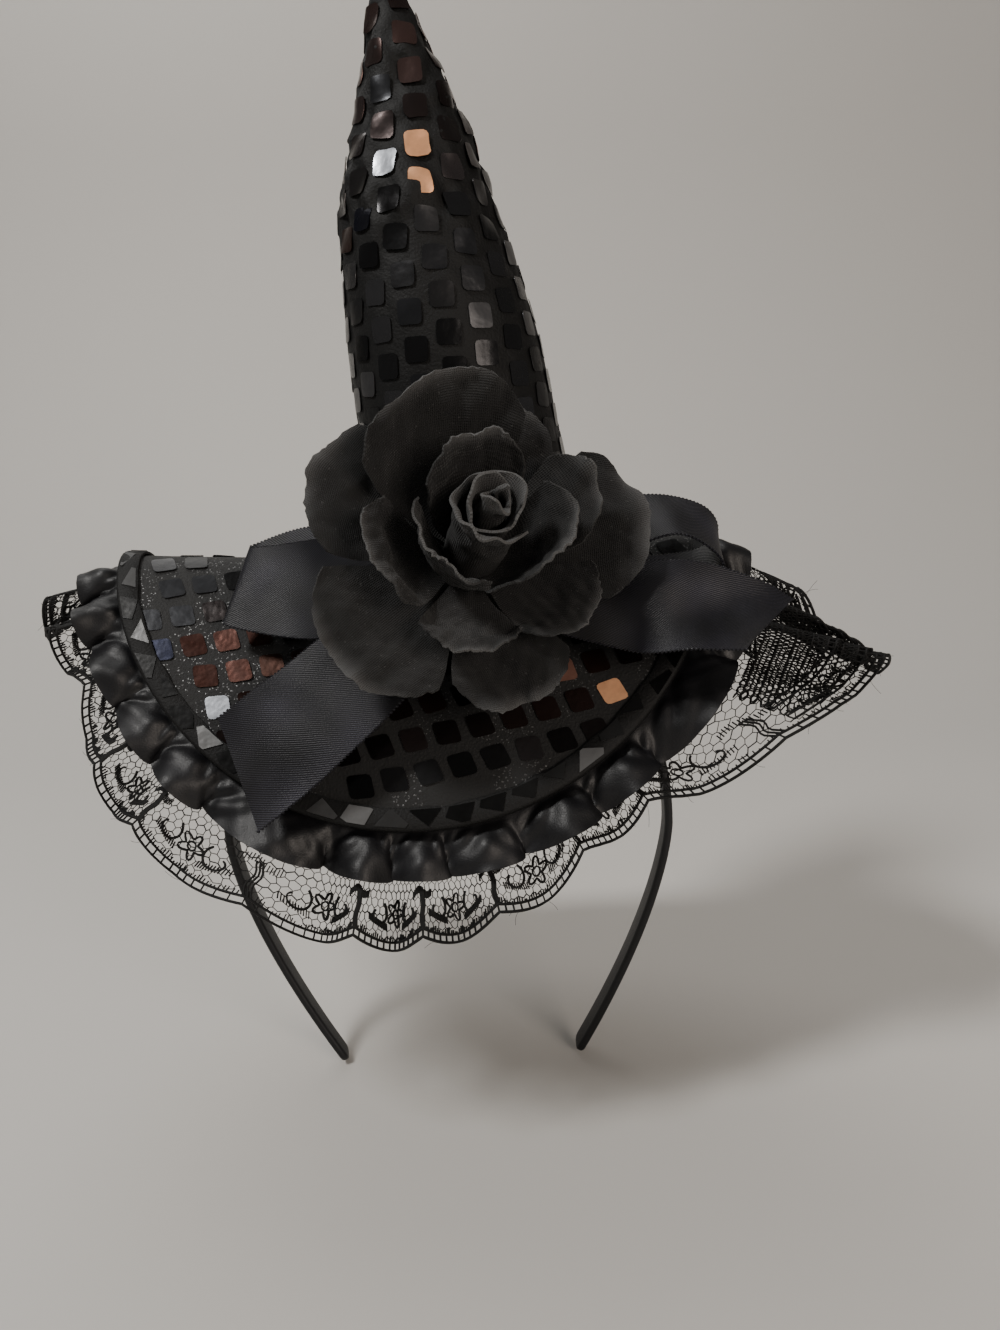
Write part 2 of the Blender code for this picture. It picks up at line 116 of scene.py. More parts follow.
# Crown: height, centre_x and radius of each section of the leaning cone.
CROWN_WALL = 1.5
CROWN_HOLE_RADIUS = 22.0
CROWN_LIFT = 0.9
CROWN_SECTIONS = [
    (-30.0, 15.5, 25.0),
    (3.5, 15.0, 25.0),
    (20.0, 12.5, 26.2),
    (34.5, 9.4, 26.3),
    (63.5, 5.5, 24.5),
    (94.5, 1.1, 19.0),
    (117.5, 0.0, 12.0),
    (139.5, -3.0, 4.5),
    (147.0, -4.0, 1.2),
]
CRUMPLE_FROM = 62.0
CRUMPLE_FULL = 95.0
CRUMPLE_DEPTH = 0.7
CRUMPLE_PITCH = 9.0
CROWN_COLUMNS = 144
CROWN_ROWS = 110
CROWN_SOLID_ROWS = 4
CROWN_WIDEST = max(radius for _, _, radius in CROWN_SECTIONS)

# Frills: reach past the rim and bend down at azimuths round the rim.
FOLDS = 28
FOLD_RISE = 0.26
FRILL_WALL = 1.0
SATIN_WALL = 0.6
SATIN_TUCK = 5.0
SATIN_COLUMNS_PER_FOLD = 26
SATIN_ROWS = 22
SATIN_PUFF = 1.6
SATIN_DEEPENING = 0.55
SATIN_LOBE = 1.5
SATIN_LEAN = 0.20
CREASE_HEIGHT = 0.42
CREASE_FADE = 5.0
CREASES_PER_FOLD = 4
SCALLOP_DEPTH = 3.0
FLAT_PAST_RIM = 1.5
LACE_DROOP = 0.09
FOLD_START = 0.905
FOLD_END = 0.985
FOLD_INNER = 16.5
FOLD_REACHES = (0.90, 0.74)
FOLD_LIFT = 1.5
FOLD_CELL_SHARE = 0.70
FOLD_THREAD_SHARE = 1.9
FRILL_FIELDS = ("azimuth", "satin_reach", "lace_reach", "bend")
FRILL_SECTIONS = [
    (0.0, 12.0, 25.0, 38.0),
    (15.0, 12.0, 25.0, 35.0),
    (30.0, 13.0, 27.0, 20.0),
    (60.0, 13.0, 27.0, 5.0),
    (90.0, 13.0, 27.0, 0.0),
    (120.0, 13.0, 27.0, 5.0),
    (150.0, 13.0, 26.0, 15.0),
    (180.0, 12.0, 24.0, 25.0),
    (195.0, 12.0, 20.0, 10.0),
    (205.0, 11.0, 14.5, 0.0),
    (220.0, 12.0, 24.0, 0.0),
    (240.0, 12.0, 26.0, 0.0),
    (270.0, 12.0, 26.0, 0.0),
    (286.0, 12.0, 21.0, 0.0),
    (298.0, 11.0, 14.5, 0.0),
    (310.0, 11.0, 16.0, 0.0),
    (320.0, 13.0, 28.0, 0.0),
    (332.0, 14.0, 42.0, -10.0),
    (341.0, 14.0, 50.0, 5.0),
    (350.0, 13.0, 38.0, 32.0),
]

# Lace: sizes of its net, its border and its motifs, and half the thickness of each thread.
SCALLOP_WIDTH = 28.0
MOTIF_WIDTH = 26.0
NET_START = 2.0
NET_DEPTH = 52.0
NET_MARGIN = 2.2
CELL_ROW_SHARE = 0.84
CELL_BEND_SHARE = 0.16
BORDER_OUTER = 0.1
BORDER_INNER = 2.0
BORDER_STEPS = 30
RUNGS = 13
FRINGE = 40
HAIRS = 90
FLOWER_DEPTH = 8.2
FLOWER_RADIUS = 2.5
FLOWER_LOBE = 0.9
FLOWER_EYE = 1.1
SCROLL_PLACE = 6.6
SCROLL_DEPTH = 8.0
SCROLL_RADIUS = 3.6
SCROLL_TIGHTENING = 0.55
SCROLL_START = 2.2
CORD = 0.40
INNER_CORD = 0.36
MOTIF_THREAD = 0.34
STEM_THREAD = 0.30
RUNG_THREAD = 0.26
FILLING_THREAD = 0.22
FRINGE_THREAD = 0.21
HAIR_THREAD = 0.05

# Rose: petals round an axis that points to the front, a little up and to the right.
ROSE_BASE = (10.0, -35.2, 7.0)
ROSE_TILT = math.radians(22)
ROSE_TURN = math.radians(12)
ROSE_LEAN_RIGHT = 0.12
ROSE_LEAN_UP = 0.28
PETAL_BASE_RADIUS = 4.0
PETAL_CURL = 3.0
PETAL_CURL_START = 0.7
PETAL_WAIST = 0.86
PETAL_CORNER_CUT = 0.22
PETAL_WALL = 0.55
PETAL_LENGTH_SHARE = 1.15
PETAL_WIDTH_SHARE = 1.2
PETAL_RIM_START = 0.86
PETAL_FRAY = 0.16
PETAL_FIELDS = ("name", "azimuth", "half_span", "reach", "rise", "level", "flare", "ruffle")
PETALS = [
    ("back_right", 4, 33, 40, 13, 0.0, 66, 1.0),
    ("back_top", 74, 34, 33, 12, 0.0, 66, 0.8),
    ("back_top_left", 147, 32, 39, 9, 0.0, 66, 1.1),
    ("back_left", 217, 35, 40, 9, 0.0, 66, 1.0),
    ("back_bottom", 282, 28, 37, 8, 0.0, 66, 1.0),
    ("hood", 104, 44, 33, 20, 1.4, 80, 0.6),
    ("left", 190, 36, 25, 19, 1.4, 80, 0.7),
    ("lip", 259, 30, 27, 16, 1.4, 80, 0.7),
    ("low_right", 318, 26, 30, 15, 1.4, 78, 0.8),
    ("right", 15, 28, 26, 20, 1.4, 80, 0.6),
    ("inner_left", 215, 56, 16, 24, 2.8, 88, 0.5),
    ("inner_right", 333, 56, 17, 25, 2.8, 88, 0.5),
    ("inner_top", 95, 54, 15, 24, 2.8, 88, 0.5),
]
BUD_INNER_RADIUS = 0.7
BUD_OUTER_RADIUS = 7.2
BUD_TURNS = 2.9
BUD_LEVEL = 5.1
BUD_RISE = 23.0
BUD_WALL = 0.6
BUD_OUTER_DROP = 4.0
BUD_RIM_WAVE = 2.2
BUD_WAVES_PER_TURN = 1.5
BUD_FLARE = 0.16
BUD_CRUMPLE = 0.40
BUD_CRUMPLE_PITCH = 6.0

# Bow: a point on the ribbon's upper edge and one on its lower edge in each row.
RIBBON_WALL = 0.5
TAIL_SWELL = 0.55
LOOP_SWELL = 0.22
SWELL_PITCH = 24.0
KNOT_REACH = 20.0
STITCH_PITCH = 1.0
STITCH_LENGTH = 1.05
STITCH_THICKNESS = 0.72
STITCH_SLANT = math.radians(40)
RIBBONS = {
    "bow_loop_left": [
        (6.0, -27.6, 10.0, 6.0, -30.6, -2.0),
        (-12.0, -25.5, 15.0, -12.0, -29.5, -7.0),
        (-30.0, -19.5, 15.0, -31.0, -26.5, -7.5),
        (-43.0, -18.0, 11.5, -49.5, -26.0, -6.5),
        (-44.0, -20.0, 10.5, -50.0, -28.5, -8.0),
        (-30.0, -22.5, 12.0, -31.0, -30.5, -11.5),
        (-12.0, -28.0, 14.0, -12.0, -32.5, -9.0),
        (6.0, -28.9, 10.0, 6.0, -32.0, -2.0),
    ],
    "bow_loop_right": [
        (14.0, -27.6, 10.0, 14.0, -30.6, -2.0),
        (32.0, -20.5, 17.0, 32.0, -28.0, -1.0),
        (48.0, -12.5, 18.5, 48.0, -26.0, 6.0),
        (62.0, -12.0, 18.5, 62.0, -26.5, 10.0),
        (72.0, -13.0, 15.0, 71.0, -27.0, 6.0),
        (75.0, -14.0, 8.5, 74.0, -27.0, 0.0),
        (68.0, -14.0, 4.0, 66.0, -27.0, -6.0),
        (50.0, -15.0, 3.5, 48.0, -28.0, -9.0),
        (32.0, -24.0, 7.0, 32.0, -30.5, -9.0),
        (14.0, -28.9, 10.0, 14.0, -32.0, -2.0),
    ],
    "bow_tail_left": [
        (16.0, -30.4, 10.0, 16.0, -33.4, -2.0),
        (4.0, -30.7, 9.0, 7.0, -35.2, -9.0),
        (-18.0, -34.0, -5.0, -3.0, -43.0, -21.0),
        (-36.0, -38.0, -17.0, -20.0, -50.0, -36.0),
        (-51.0, -45.0, -27.0, -41.0, -58.0, -51.0),
    ],
    "bow_tail_right": [
        (4.0, -32.0, 10.0, 4.0, -35.6, -3.0),
        (20.0, -30.9, 11.0, 20.0, -36.0, -7.0),
        (37.0, -29.0, 8.5, 37.0, -38.0, -13.0),
        (54.0, -30.5, 4.5, 52.0, -43.0, -15.5),
        (72.0, -31.0, 2.0, 64.0, -45.0, -15.5),
        (90.5, -31.0, -6.5, 75.5, -45.0, -15.5),
    ],
}

# Sequins: a foil has red, green and blue, and how milky it is; the bright orange, silver and pink foils
# are painted reflections.
# A flash has picture_x, picture_y and foil; a flash with a bright foil paints a reflection on that
# sequin.
SEQUIN_LIFT = 0.28
SEQUIN_WALL = 0.14
BRIM_ROW_ANGLE = math.radians(10)
BRIM_ROW_SLANT = -0.25
BRIM_ROWS = 16
BRIM_ROWS_SHIFT = 2.7
BRIM_TILE_SLANT = -0.15
RIM_CLEARANCE = 1.0
CROWN_CLEARANCE = 3.0
RIDGE_CLEARANCE = 3.5
BASE_CLEARANCE = 3.6
CUT_PITCH = 8.7
CUT_HALF = 3.0
CUT_MIDDLE = -1.8
CUT_SPREAD = 3.0
CUT_LEAN = 32
CUT_LEAN_SPREAD = 10
BRIM_SHINE = 0.8
CROWN_SHINE = 1.8
COPPER = (0.036, 0.013, 0.009, 0.35)
# Painted reflections: the bright orange, silver and pink foils stand in for light that a sequin catches.
ORANGE_GLINT = (1.0, 0.52, 0.28, 0.70)
SILVER_GLINT = (0.42, 0.44, 0.48, 0.40)
STEEL = (0.026, 0.027, 0.030, 0.45)
NAVY = (0.005, 0.006, 0.014, 0.35)
BROWN = (0.036, 0.015, 0.010, 0.40)
PINK_GLINT = (0.40, 0.20, 0.15, 0.50)
CROWN_FLASHES = [
    (388, 148, SILVER_GLINT),
    (418, 152, ORANGE_GLINT),
    (436, 181, ORANGE_GLINT),
    (368, 205, NAVY),
    (349, 235, BROWN),
    (388, 102, STEEL),
    (413, 250, STEEL),
    (476, 238, STEEL),
    (417, 316, STEEL),
    (417, 386, STEEL),
]
BRIM_FLASHES = [
    (174, 583, STEEL),
    (203, 579, STEEL),
    (150, 608, STEEL),
    (179, 603, STEEL),
    (206, 599, STEEL),
    (198, 656, COPPER),
    (226, 650, COPPER),
    (257, 648, COPPER),
    (187, 689, COPPER),
    (214, 683, COPPER),
    (244, 681, COPPER),
    (203, 716, COPPER),
    (229, 710, COPPER),
    (273, 671, BROWN),
    (171, 661, NAVY),
    (176, 716, SILVER_GLINT),
    (620, 682, ORANGE_GLINT),
    (590, 672, BROWN),
    (553, 685, PINK_GLINT),
]

# Seeds of the random draws.
SEEDS = {
    "crumple": 3,
    "fine crumple": 4,
    "brim tilt": 5,
    "crown tilt": 9,
    "brim foil": 11,
    "cut sequins": 23,
    "crown foil": 31,
    "loose sequins": 37,
    "net": 41,
    "border": 43,
    "motifs": 47,
    "hairs": 53,
    "bud": 61,
}

# Stage: lights have a name, a place in metres, a size, a power and a colour.
LIGHTS = [
    ("key", (-0.60, -0.45, 0.95), 0.22, 12.0, (1.0, 0.98, 0.95)),
    ("fill", (0.60, -0.85, 0.25), 0.50, 6.0, (1.0, 0.88, 0.78)),
    ("back", (-0.25, 0.45, 0.85), 0.80, 4.0, (1.0, 0.99, 0.97)),
]
BACKDROP_COLOUR = (0.51, 0.495, 0.47)
ROOM_COLOUR = (0.62, 0.60, 0.58, 1.0)
ROOM_STRENGTH = 0.30


class Field:
    """A socket of a node tree, whose arithmetic adds Math nodes."""

    def __init__(self, socket):
        self.socket = socket

    def math(self, operation, *values):
        return add_node(self.socket.id_data, "ShaderNodeMath", {"operation": operation},
                        dict(enumerate(values)))

    def out(self, name):
        return Field(self.socket.node.outputs[name])

    def __add__(self, other):
        return self.math("ADD", self, other)

    def __radd__(self, other):
        return self.math("ADD", other, self)

    def __sub__(self, other):
        return self.math("SUBTRACT", self, other)

    def __rsub__(self, other):
        return self.math("SUBTRACT", other, self)

    def __mul__(self, other):
        return self.math("MULTIPLY", self, other)

    def __rmul__(self, other):
        return self.math("MULTIPLY", other, self)

    def __pow__(self, other):
        return self.math("POWER", self, other)

    def above(self, limit):
        return self.math("GREATER_THAN", self, limit)

    def sine(self):
        return self.math("SINE", self)


def add_node(tree, kind, settings=None, sockets=None, output=0):
    """A node of that kind, with its settings made before its sockets are filled."""
    node = tree.nodes.new(kind)
    for name, value in (settings or {}).items():
        setattr(node, name, value)
    for name, value in (sockets or {}).items():
        socket = node.inputs[name]
        if isinstance(value, Field):
            tree.links.new(value.socket, socket)
        else:
            socket.default_value = value
    return Field(node.outputs[output])


def blend(factor, low, high):
    """A colour between two colours."""
    return add_node(factor.socket.id_data, "ShaderNodeMix", {"data_type": "RGBA"},
                    {0: factor, 6: low, 7: high}, 2)


def grey(level):
    return (level, level, level, 1.0)


def start_material(name, **constants):
    """A material and its tree, with the constants on the shader's own sockets."""
    made = bpy.data.materials.new(name)
    made.use_nodes = True
    shader = made.node_tree.nodes["Principled BSDF"]
    for socket, value in constants.items():
        shader.inputs[socket.replace("_", " ")].default_value = value
    return made, made.node_tree, shader


def feed(tree, shader, **values):
    for name, value in values.items():
        tree.links.new(value.socket, shader.inputs[name.replace("_", " ")])


def object_place(tree):
    return add_node(tree, "ShaderNodeTexCoord").out("Object")


def noise(tree, place, scale, detail=2.0):
    return add_node(tree, "ShaderNodeTexNoise", {}, {"Vector": place, "Scale": scale, "Detail": detail})


def cells(tree, place, scale):
    """A random number for each small cell."""
    colour = add_node(tree, "ShaderNodeTexVoronoi", {}, {"Vector": place, "Scale": scale}).out("Color")
    return add_node(tree, "ShaderNodeSeparateColor", {}, {"Color": colour})


def bump(tree, height, strength, distance):
    return add_node(tree, "ShaderNodeBump", {},
                    {"Strength": strength, "Distance": distance, "Height": height})


def attribute(tree, name, output="Fac"):
    return add_node(tree, "ShaderNodeAttribute", {"attribute_name": name}).out(output)


def satin_finish():
    made, tree, shader = start_material("satin", Specular_IOR_Level=0.36)
    place = object_place(tree)
    grain = noise(tree, place, 2600.0)
    drift = noise(tree, place, 90.0)
    feed(tree, shader,
         Base_Color=blend(drift, grey(0.002), (0.005, 0.005, 0.007, 1.0)),
         Roughness=0.30 + drift * 0.12 + grain * 0.24,
         Normal=bump(tree, grain, 0.6, 0.00010))
    return made


def ribbon_finish():
    """Satin ribbon whose fine ribs run slantwise across it, with a bluish painted sheen on its ribs in
    patches.
    """
    made, tree, shader = start_material("ribbon", Specular_IOR_Level=0.22)
    place = add_node(tree, "ShaderNodeUVMap", {"uv_map": "flat"})
    parts = add_node(tree, "ShaderNodeSeparateXYZ", {}, {"Vector": place})
    across = parts.out("X")
    along = parts.out("Y")
    ribs = ((across * 0.80 + along * 0.60) * (2 * math.pi / 0.00048)).sine() * 0.5 + 0.5
    grain = noise(tree, place, 2200.0)
    drift = noise(tree, place, 70.0)
    # Painted sheen: in patches the ribs are coloured light and bluish, standing in for light that the
    # satin catches.
    painted_sheen_patch = noise(tree, place, 45.0) ** 3 * 4.0
    feed(tree, shader,
         Base_Color=blend(ribs * painted_sheen_patch, grey(0.002), (0.030, 0.030, 0.042, 1.0)),
         Roughness=0.16 + grain * 0.16 + drift * 0.36,
         Normal=bump(tree, ribs * 0.7 + grain * 1.2, 0.6, 0.00010))
    return made


def sequin_finish():
    """Mirror foil in the colour each sequin carries, a little smudged and creased; on a few sequins that
    colour is a painted reflection.
    """
    made, tree, shader = start_material("sequin foil", Specular_IOR_Level=0.25)
    place = object_place(tree)
    smudge = noise(tree, place, 420.0, 4.0)
    crease = noise(tree, place, 260.0)
    foil_and_glint = attribute(tree, "foil_and_glint", "Color")
    milky = attribute(tree, "foil_and_glint", "Alpha")
    feed(tree, shader,
         Base_Color=blend(smudge * 0.5, foil_and_glint, grey(0.012)),
         Metallic=0.95 - milky * 0.35,
         Roughness=0.10 + smudge * 0.15 + milky * 0.35,
         Normal=bump(tree, crease, 0.35, 0.0004))
    return made


def sequin_cloth_finish():
    """Black knit with a fine glitter in it; on the brim its ground is also painted lighter, standing in
    for light.
    """
    made, tree, shader = start_material("sequin cloth", Specular_IOR_Level=0.25)
    place = object_place(tree)
    knit = noise(tree, place, 1500.0)
    fleck = cells(tree, place, 3000.0).above(0.93) * noise(tree, place, 60.0).above(0.50)
    glitter_and_painted_light = attribute(tree, "glitter_and_painted_light")
    fleck = fleck * glitter_and_painted_light
    # Painted light: the brim's ground is lighter than the crown's, though both are the same knit.
    ground = blend(glitter_and_painted_light, grey(0.003), grey(0.011))
    feed(tree, shader,
         Base_Color=blend(fleck, ground, grey(0.09)),
         Metallic=fleck * 0.7,
         Roughness=0.66 - fleck * 0.25,
         Normal=bump(tree, knit, 0.8, 0.00025))
    return made


def lace_finish():
    made, tree, shader = start_material("lace thread", Specular_IOR_Level=0.25)
    twist = noise(tree, object_place(tree), 5200.0)
    feed(tree, shader,
         Base_Color=blend(twist, grey(0.002), grey(0.006)),
         Roughness=0.55 + twist * 0.25,
         Normal=bump(tree, twist, 0.4, 0.00006))
    return made


def rose_finish():
    """Matte woven petals with specks of lint, and a rim painted lighter: partly frayed fibre, partly
    painted highlight.
    """
    made, tree, shader = start_material("rose cloth", Sheen_Weight=0.07, Specular_IOR_Level=0.18)
    place = object_place(tree)
    weave_place = add_node(tree, "ShaderNodeUVMap", {"uv_map": "flat"})
    parts = add_node(tree, "ShaderNodeSeparateXYZ", {}, {"Vector": weave_place})
    warp = (parts.out("X") * (2 * math.pi / 0.00050)).sine()
    weft = (parts.out("Y") * (2 * math.pi / 0.00050)).sine()
    grain = noise(tree, place, 2400.0, 3.0)
    lint = cells(tree, place, 2600.0).above(0.993)
    cloudy = noise(tree, place, 120.0)
    rim = attribute(tree, "rim")
    base = blend(cloudy * 0.4 + grain * 0.6, grey(0.002), grey(0.030))
    # The rim is painted lighter: partly frayed fibre, partly a painted highlight where light catches the
    # edge.
    edged = blend(rim * 0.8, base, grey(0.090))
    feed(tree, shader,
         Base_Color=blend(lint * 0.5, edged, grey(0.06)),
         Roughness=0.70 + grain * 0.25,
         Normal=bump(tree, warp * 0.3 + weft * 0.3 + grain, 0.8, 0.00024))
    return made


def stage_finish(name, colour):
    made, tree, shader = start_material(name)
    drift = noise(tree, object_place(tree), 3.0)
    darker = tuple(0.96 * part for part in colour) + (1.0,)
    feed(tree, shader, Base_Color=blend(drift, darker, colour + (1.0,)), Roughness=0.75 + drift * 0.1)
    return made


FINISHES = {}


def finish_of(name):
    """The material of that name, made the first time that a piece asks for it."""
    makers = {
        "satin": satin_finish,
        "ribbon": ribbon_finish,
        "sequin": sequin_finish,
        "sequin_cloth": sequin_cloth_finish,
        "lace": lace_finish,
        "rose_cloth": rose_finish,
    }
    if name not in FINISHES:
        FINISHES[name] = makers[name]()
    return FINISHES[name]


def unit(vectors):
    return vectors / np.maximum(np.linalg.norm(vectors, axis=-1, keepdims=True), 1e-12)


def smooth(rows, steps):
    """Rows of numbers made finer by a Catmull-Rom curve through them."""
    rows = np.asarray(rows, float)
    last = len(rows) - 1
    finer = []
    for i in range(last):
        p0, p1, p2, p3 = (rows[min(max(i + k, 0), last)] for k in (-1, 0, 1, 2))
        for step in range(steps):
            t = step / steps
            bend = 2 * p0 - 5 * p1 + 4 * p2 - p3
            twist = 3 * p1 - p0 - 3 * p2 + p3
            finer.append(0.5 * (2 * p1 + (p2 - p0) * t + bend * t ** 2 + twist * t ** 3))
    finer.append(rows[-1])
    return np.array(finer)


def ripple(points, pitch, seed, waves=9):
    """Smooth bumps of about one unit, and about one pitch apart."""
    random = np.random.default_rng(seed)
    total = np.zeros(points.shape[:-1])
    for _ in range(waves):
        way = unit(random.normal(size=3)) * 2 * math.pi / pitch * random.uniform(0.6, 1.4)
        total = total + np.sin(points @ way + random.uniform(0, 2 * math.pi))
    return total / math.sqrt(waves / 2)


def mesh_piece(name, points, faces, finish, edges=(), values=None, flat=None):
    """One object at the origin, with its place in its mesh."""
    mesh = bpy.data.meshes.new(name)
    mesh.from_pydata((np.asarray(points) * MM).tolist(), list(edges), [tuple(f) for f in faces])
    for field, numbers in (values or {}).items():
        numbers = np.asarray(numbers, np.float32)
        kinds = {1: ("FLOAT", "value"), 3: ("FLOAT_VECTOR", "vector"), 4: ("FLOAT_COLOR", "color")}
        kind, slot = kinds[1 if numbers.ndim == 1 else numbers.shape[1]]
        layer = mesh.attributes.new(field, kind, "POINT")
        layer.data.foreach_set(slot, numbers.ravel())
    if flat is not None:
        corner = np.zeros(len(mesh.loops), np.int32)
        mesh.loops.foreach_get("vertex_index", corner)
        layer = mesh.uv_layers.new(name="flat")
        layer.data.foreach_set("uv", (np.asarray(flat)[corner] * MM).astype(np.float32).ravel())
    if len(faces):
        mesh.shade_smooth()
        mesh.set_sharp_from_angle(angle=SHARP_ANGLE)
    if finish:
        mesh.materials.append(finish_of(finish))
    piece = bpy.data.objects.new(name, mesh)
    bpy.context.scene.collection.objects.link(piece)
    return piece


def wall_faces(rows, columns, ring):
    """Faces of a closed cloth wall: its front, its back and its edges."""
    index = np.arange(rows * columns).reshape(rows, columns)
    if ring:
        index = np.concatenate([index, index[:, :1]], axis=1)
    a, b, c, d = index[:-1, :-1], index[:-1, 1:], index[1:, 1:], index[1:, :-1]
    back = rows * columns
    front = np.stack([a, b, c, d], -1).reshape(-1, 4)
    faces = [front, front[:, ::-1] + back]
    borders = [(a[0], b[0]), (c[-1], d[-1])]
    if not ring:
        borders += [(d[:, 0], a[:, 0]), (b[:, -1], c[:, -1])]
    for x, y in borders:
        faces.append(np.stack([y, x, x + back, y + back], -1))
    return np.concatenate(faces)


def sheet_normal(grid, ring):
    if ring:
        along = np.roll(grid, -1, axis=1) - np.roll(grid, 1, axis=1)
    else:
        along = np.gradient(grid, axis=1)
    return unit(np.cross(along, np.gradient(grid, axis=0)))


def cloth(name, grid, wall, finish, ring=False, values=None, flat=None):
    """A cloth wall around a grid of middle points, closed along its edges."""
    rows, columns = grid.shape[:2]
    half = sheet_normal(grid, ring) * wall / 2
    points = np.concatenate([(grid + half).reshape(-1, 3), (grid - half).reshape(-1, 3)])
    doubled = {k: np.concatenate([v.reshape(rows * columns, -1).squeeze()] * 2)
               for k, v in (values or {}).items()}
    if flat is not None:
        flat = np.concatenate([flat.reshape(-1, 2)] * 2)
    return mesh_piece(name, points, wall_faces(rows, columns, ring), finish, (), doubled, flat)


def sheet_area(grid, ring=False):
    """The area of a grid of middle points, in square millimetres."""
    if ring:
        grid = np.concatenate([grid, grid[:, :1]], axis=1)
    along = grid[:-1, 1:] - grid[:-1, :-1]
    across = grid[1:, :-1] - grid[:-1, :-1]
    return float(np.linalg.norm(np.cross(along, across), axis=-1).sum())


def swept(name, rings, finish, closed=False):
    """A closed skin through rings of equal length, capped unless it is closed on itself."""
    rings = np.asarray(rings)
    count, sides = rings.shape[:2]
    index = np.arange(count * sides).reshape(count, sides)
    index = np.concatenate([index, index[:, :1]], axis=1)
    if closed:
        index = np.concatenate([index, index[:1]], axis=0)
    a, b, c, d = index[:-1, :-1], index[:-1, 1:], index[1:, 1:], index[1:, :-1]
    faces = np.stack([a, d, c, b], -1).reshape(-1, 4).tolist()
    if not closed:
        faces.append(list(range(sides)))
        faces.append([(count - 1) * sides + k for k in reversed(range(sides))])
    piece = mesh_piece(name, rings.reshape(-1, 3), faces, finish)
    return face_outwards(piece)


def face_outwards(piece):
    """Turns a closed mesh the right way out, where its volume says that it is inside out."""
    mesh = piece.data
    mesh.calc_loop_triangles()
    corners = np.zeros(len(mesh.loop_triangles) * 3, np.int32)
    mesh.loop_triangles.foreach_get("vertices", corners)
    place = np.zeros(len(mesh.vertices) * 3, np.float32)
    mesh.vertices.foreach_get("co", place)
    a, b, c = place.reshape(-1, 3)[corners.reshape(-1, 3)].transpose(1, 0, 2)
    if (a * np.cross(b, c)).sum() < 0:
        mesh.flip_normals()
    return piece


def fit(piece, *nodes, slot):
    """The piece rides on the hat and stands for these nodes; slot is not used."""
    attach(piece, BODY)
    if nodes:
        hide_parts(*nodes)
    return piece


def new_tree(name, inputs):
    """An empty Geometry Nodes tree with named inputs, and a field for each of them."""
    tree = bpy.data.node_groups.new(name, "GeometryNodeTree")
    tree.interface.new_socket("Geometry", in_out="INPUT", socket_type="NodeSocketGeometry")
    tree.interface.new_socket("Geometry", in_out="OUTPUT", socket_type="NodeSocketGeometry")
    for label, kind in inputs.items():
        tree.interface.new_socket(label, in_out="INPUT", socket_type="NodeSocket" + kind)
    entry = tree.nodes.new("NodeGroupInput")
    return tree, {socket.name: Field(socket) for socket in entry.outputs if socket.name}


def close_tree(tree, geometry, finish):
    """Ends a tree in Realize Instances and Set Material."""
    real = add_node(tree, "GeometryNodeRealizeInstances", {}, {"Geometry": geometry})
    clad = add_node(tree, "GeometryNodeSetMaterial", {}, {"Geometry": real, "Material": finish})
    leave = tree.nodes.new("NodeGroupOutput")
    tree.links.new(clad.socket, leave.inputs[0])


def grow(piece, tree, values):
    """Runs a tree on a piece and keeps the result as its plain mesh."""
    modifier = piece.modifiers.new(tree.name, "NODES")
    modifier.node_group = tree
    for item in tree.interface.items_tree:
        if item.in_out == "INPUT" and item.name in values:
            modifier[item.identifier] = values[item.name]
    depsgraph = bpy.context.evaluated_depsgraph_get()
    depsgraph.update()
    mesh = bpy.data.meshes.new_from_object(piece.evaluated_get(depsgraph), depsgraph=depsgraph)
    piece.modifiers.clear()
    piece.data = mesh
    return piece


def thread_tree():
    """Round thread along every line of the piece, as thick as its points say."""
    tree, given = new_tree("Thread", {"Sides": "Int", "Finish": "Material"})
    line = add_node(tree, "GeometryNodeMeshToCurve", {}, {"Mesh": given["Geometry"]})
    thick = add_node(tree, "GeometryNodeInputNamedAttribute", {"data_type": "FLOAT"}, {"Name": "thread"})
    ring = add_node(tree, "GeometryNodeCurvePrimitiveCircle", {},
                    {"Resolution": given["Sides"], "Radius": 1.0})
    tube = add_node(tree, "GeometryNodeCurveToMesh", {},
                    {"Curve": line, "Profile Curve": ring, "Scale": thick, "Fill Caps": True})
    close_tree(tree, tube, given["Finish"])
    return tree


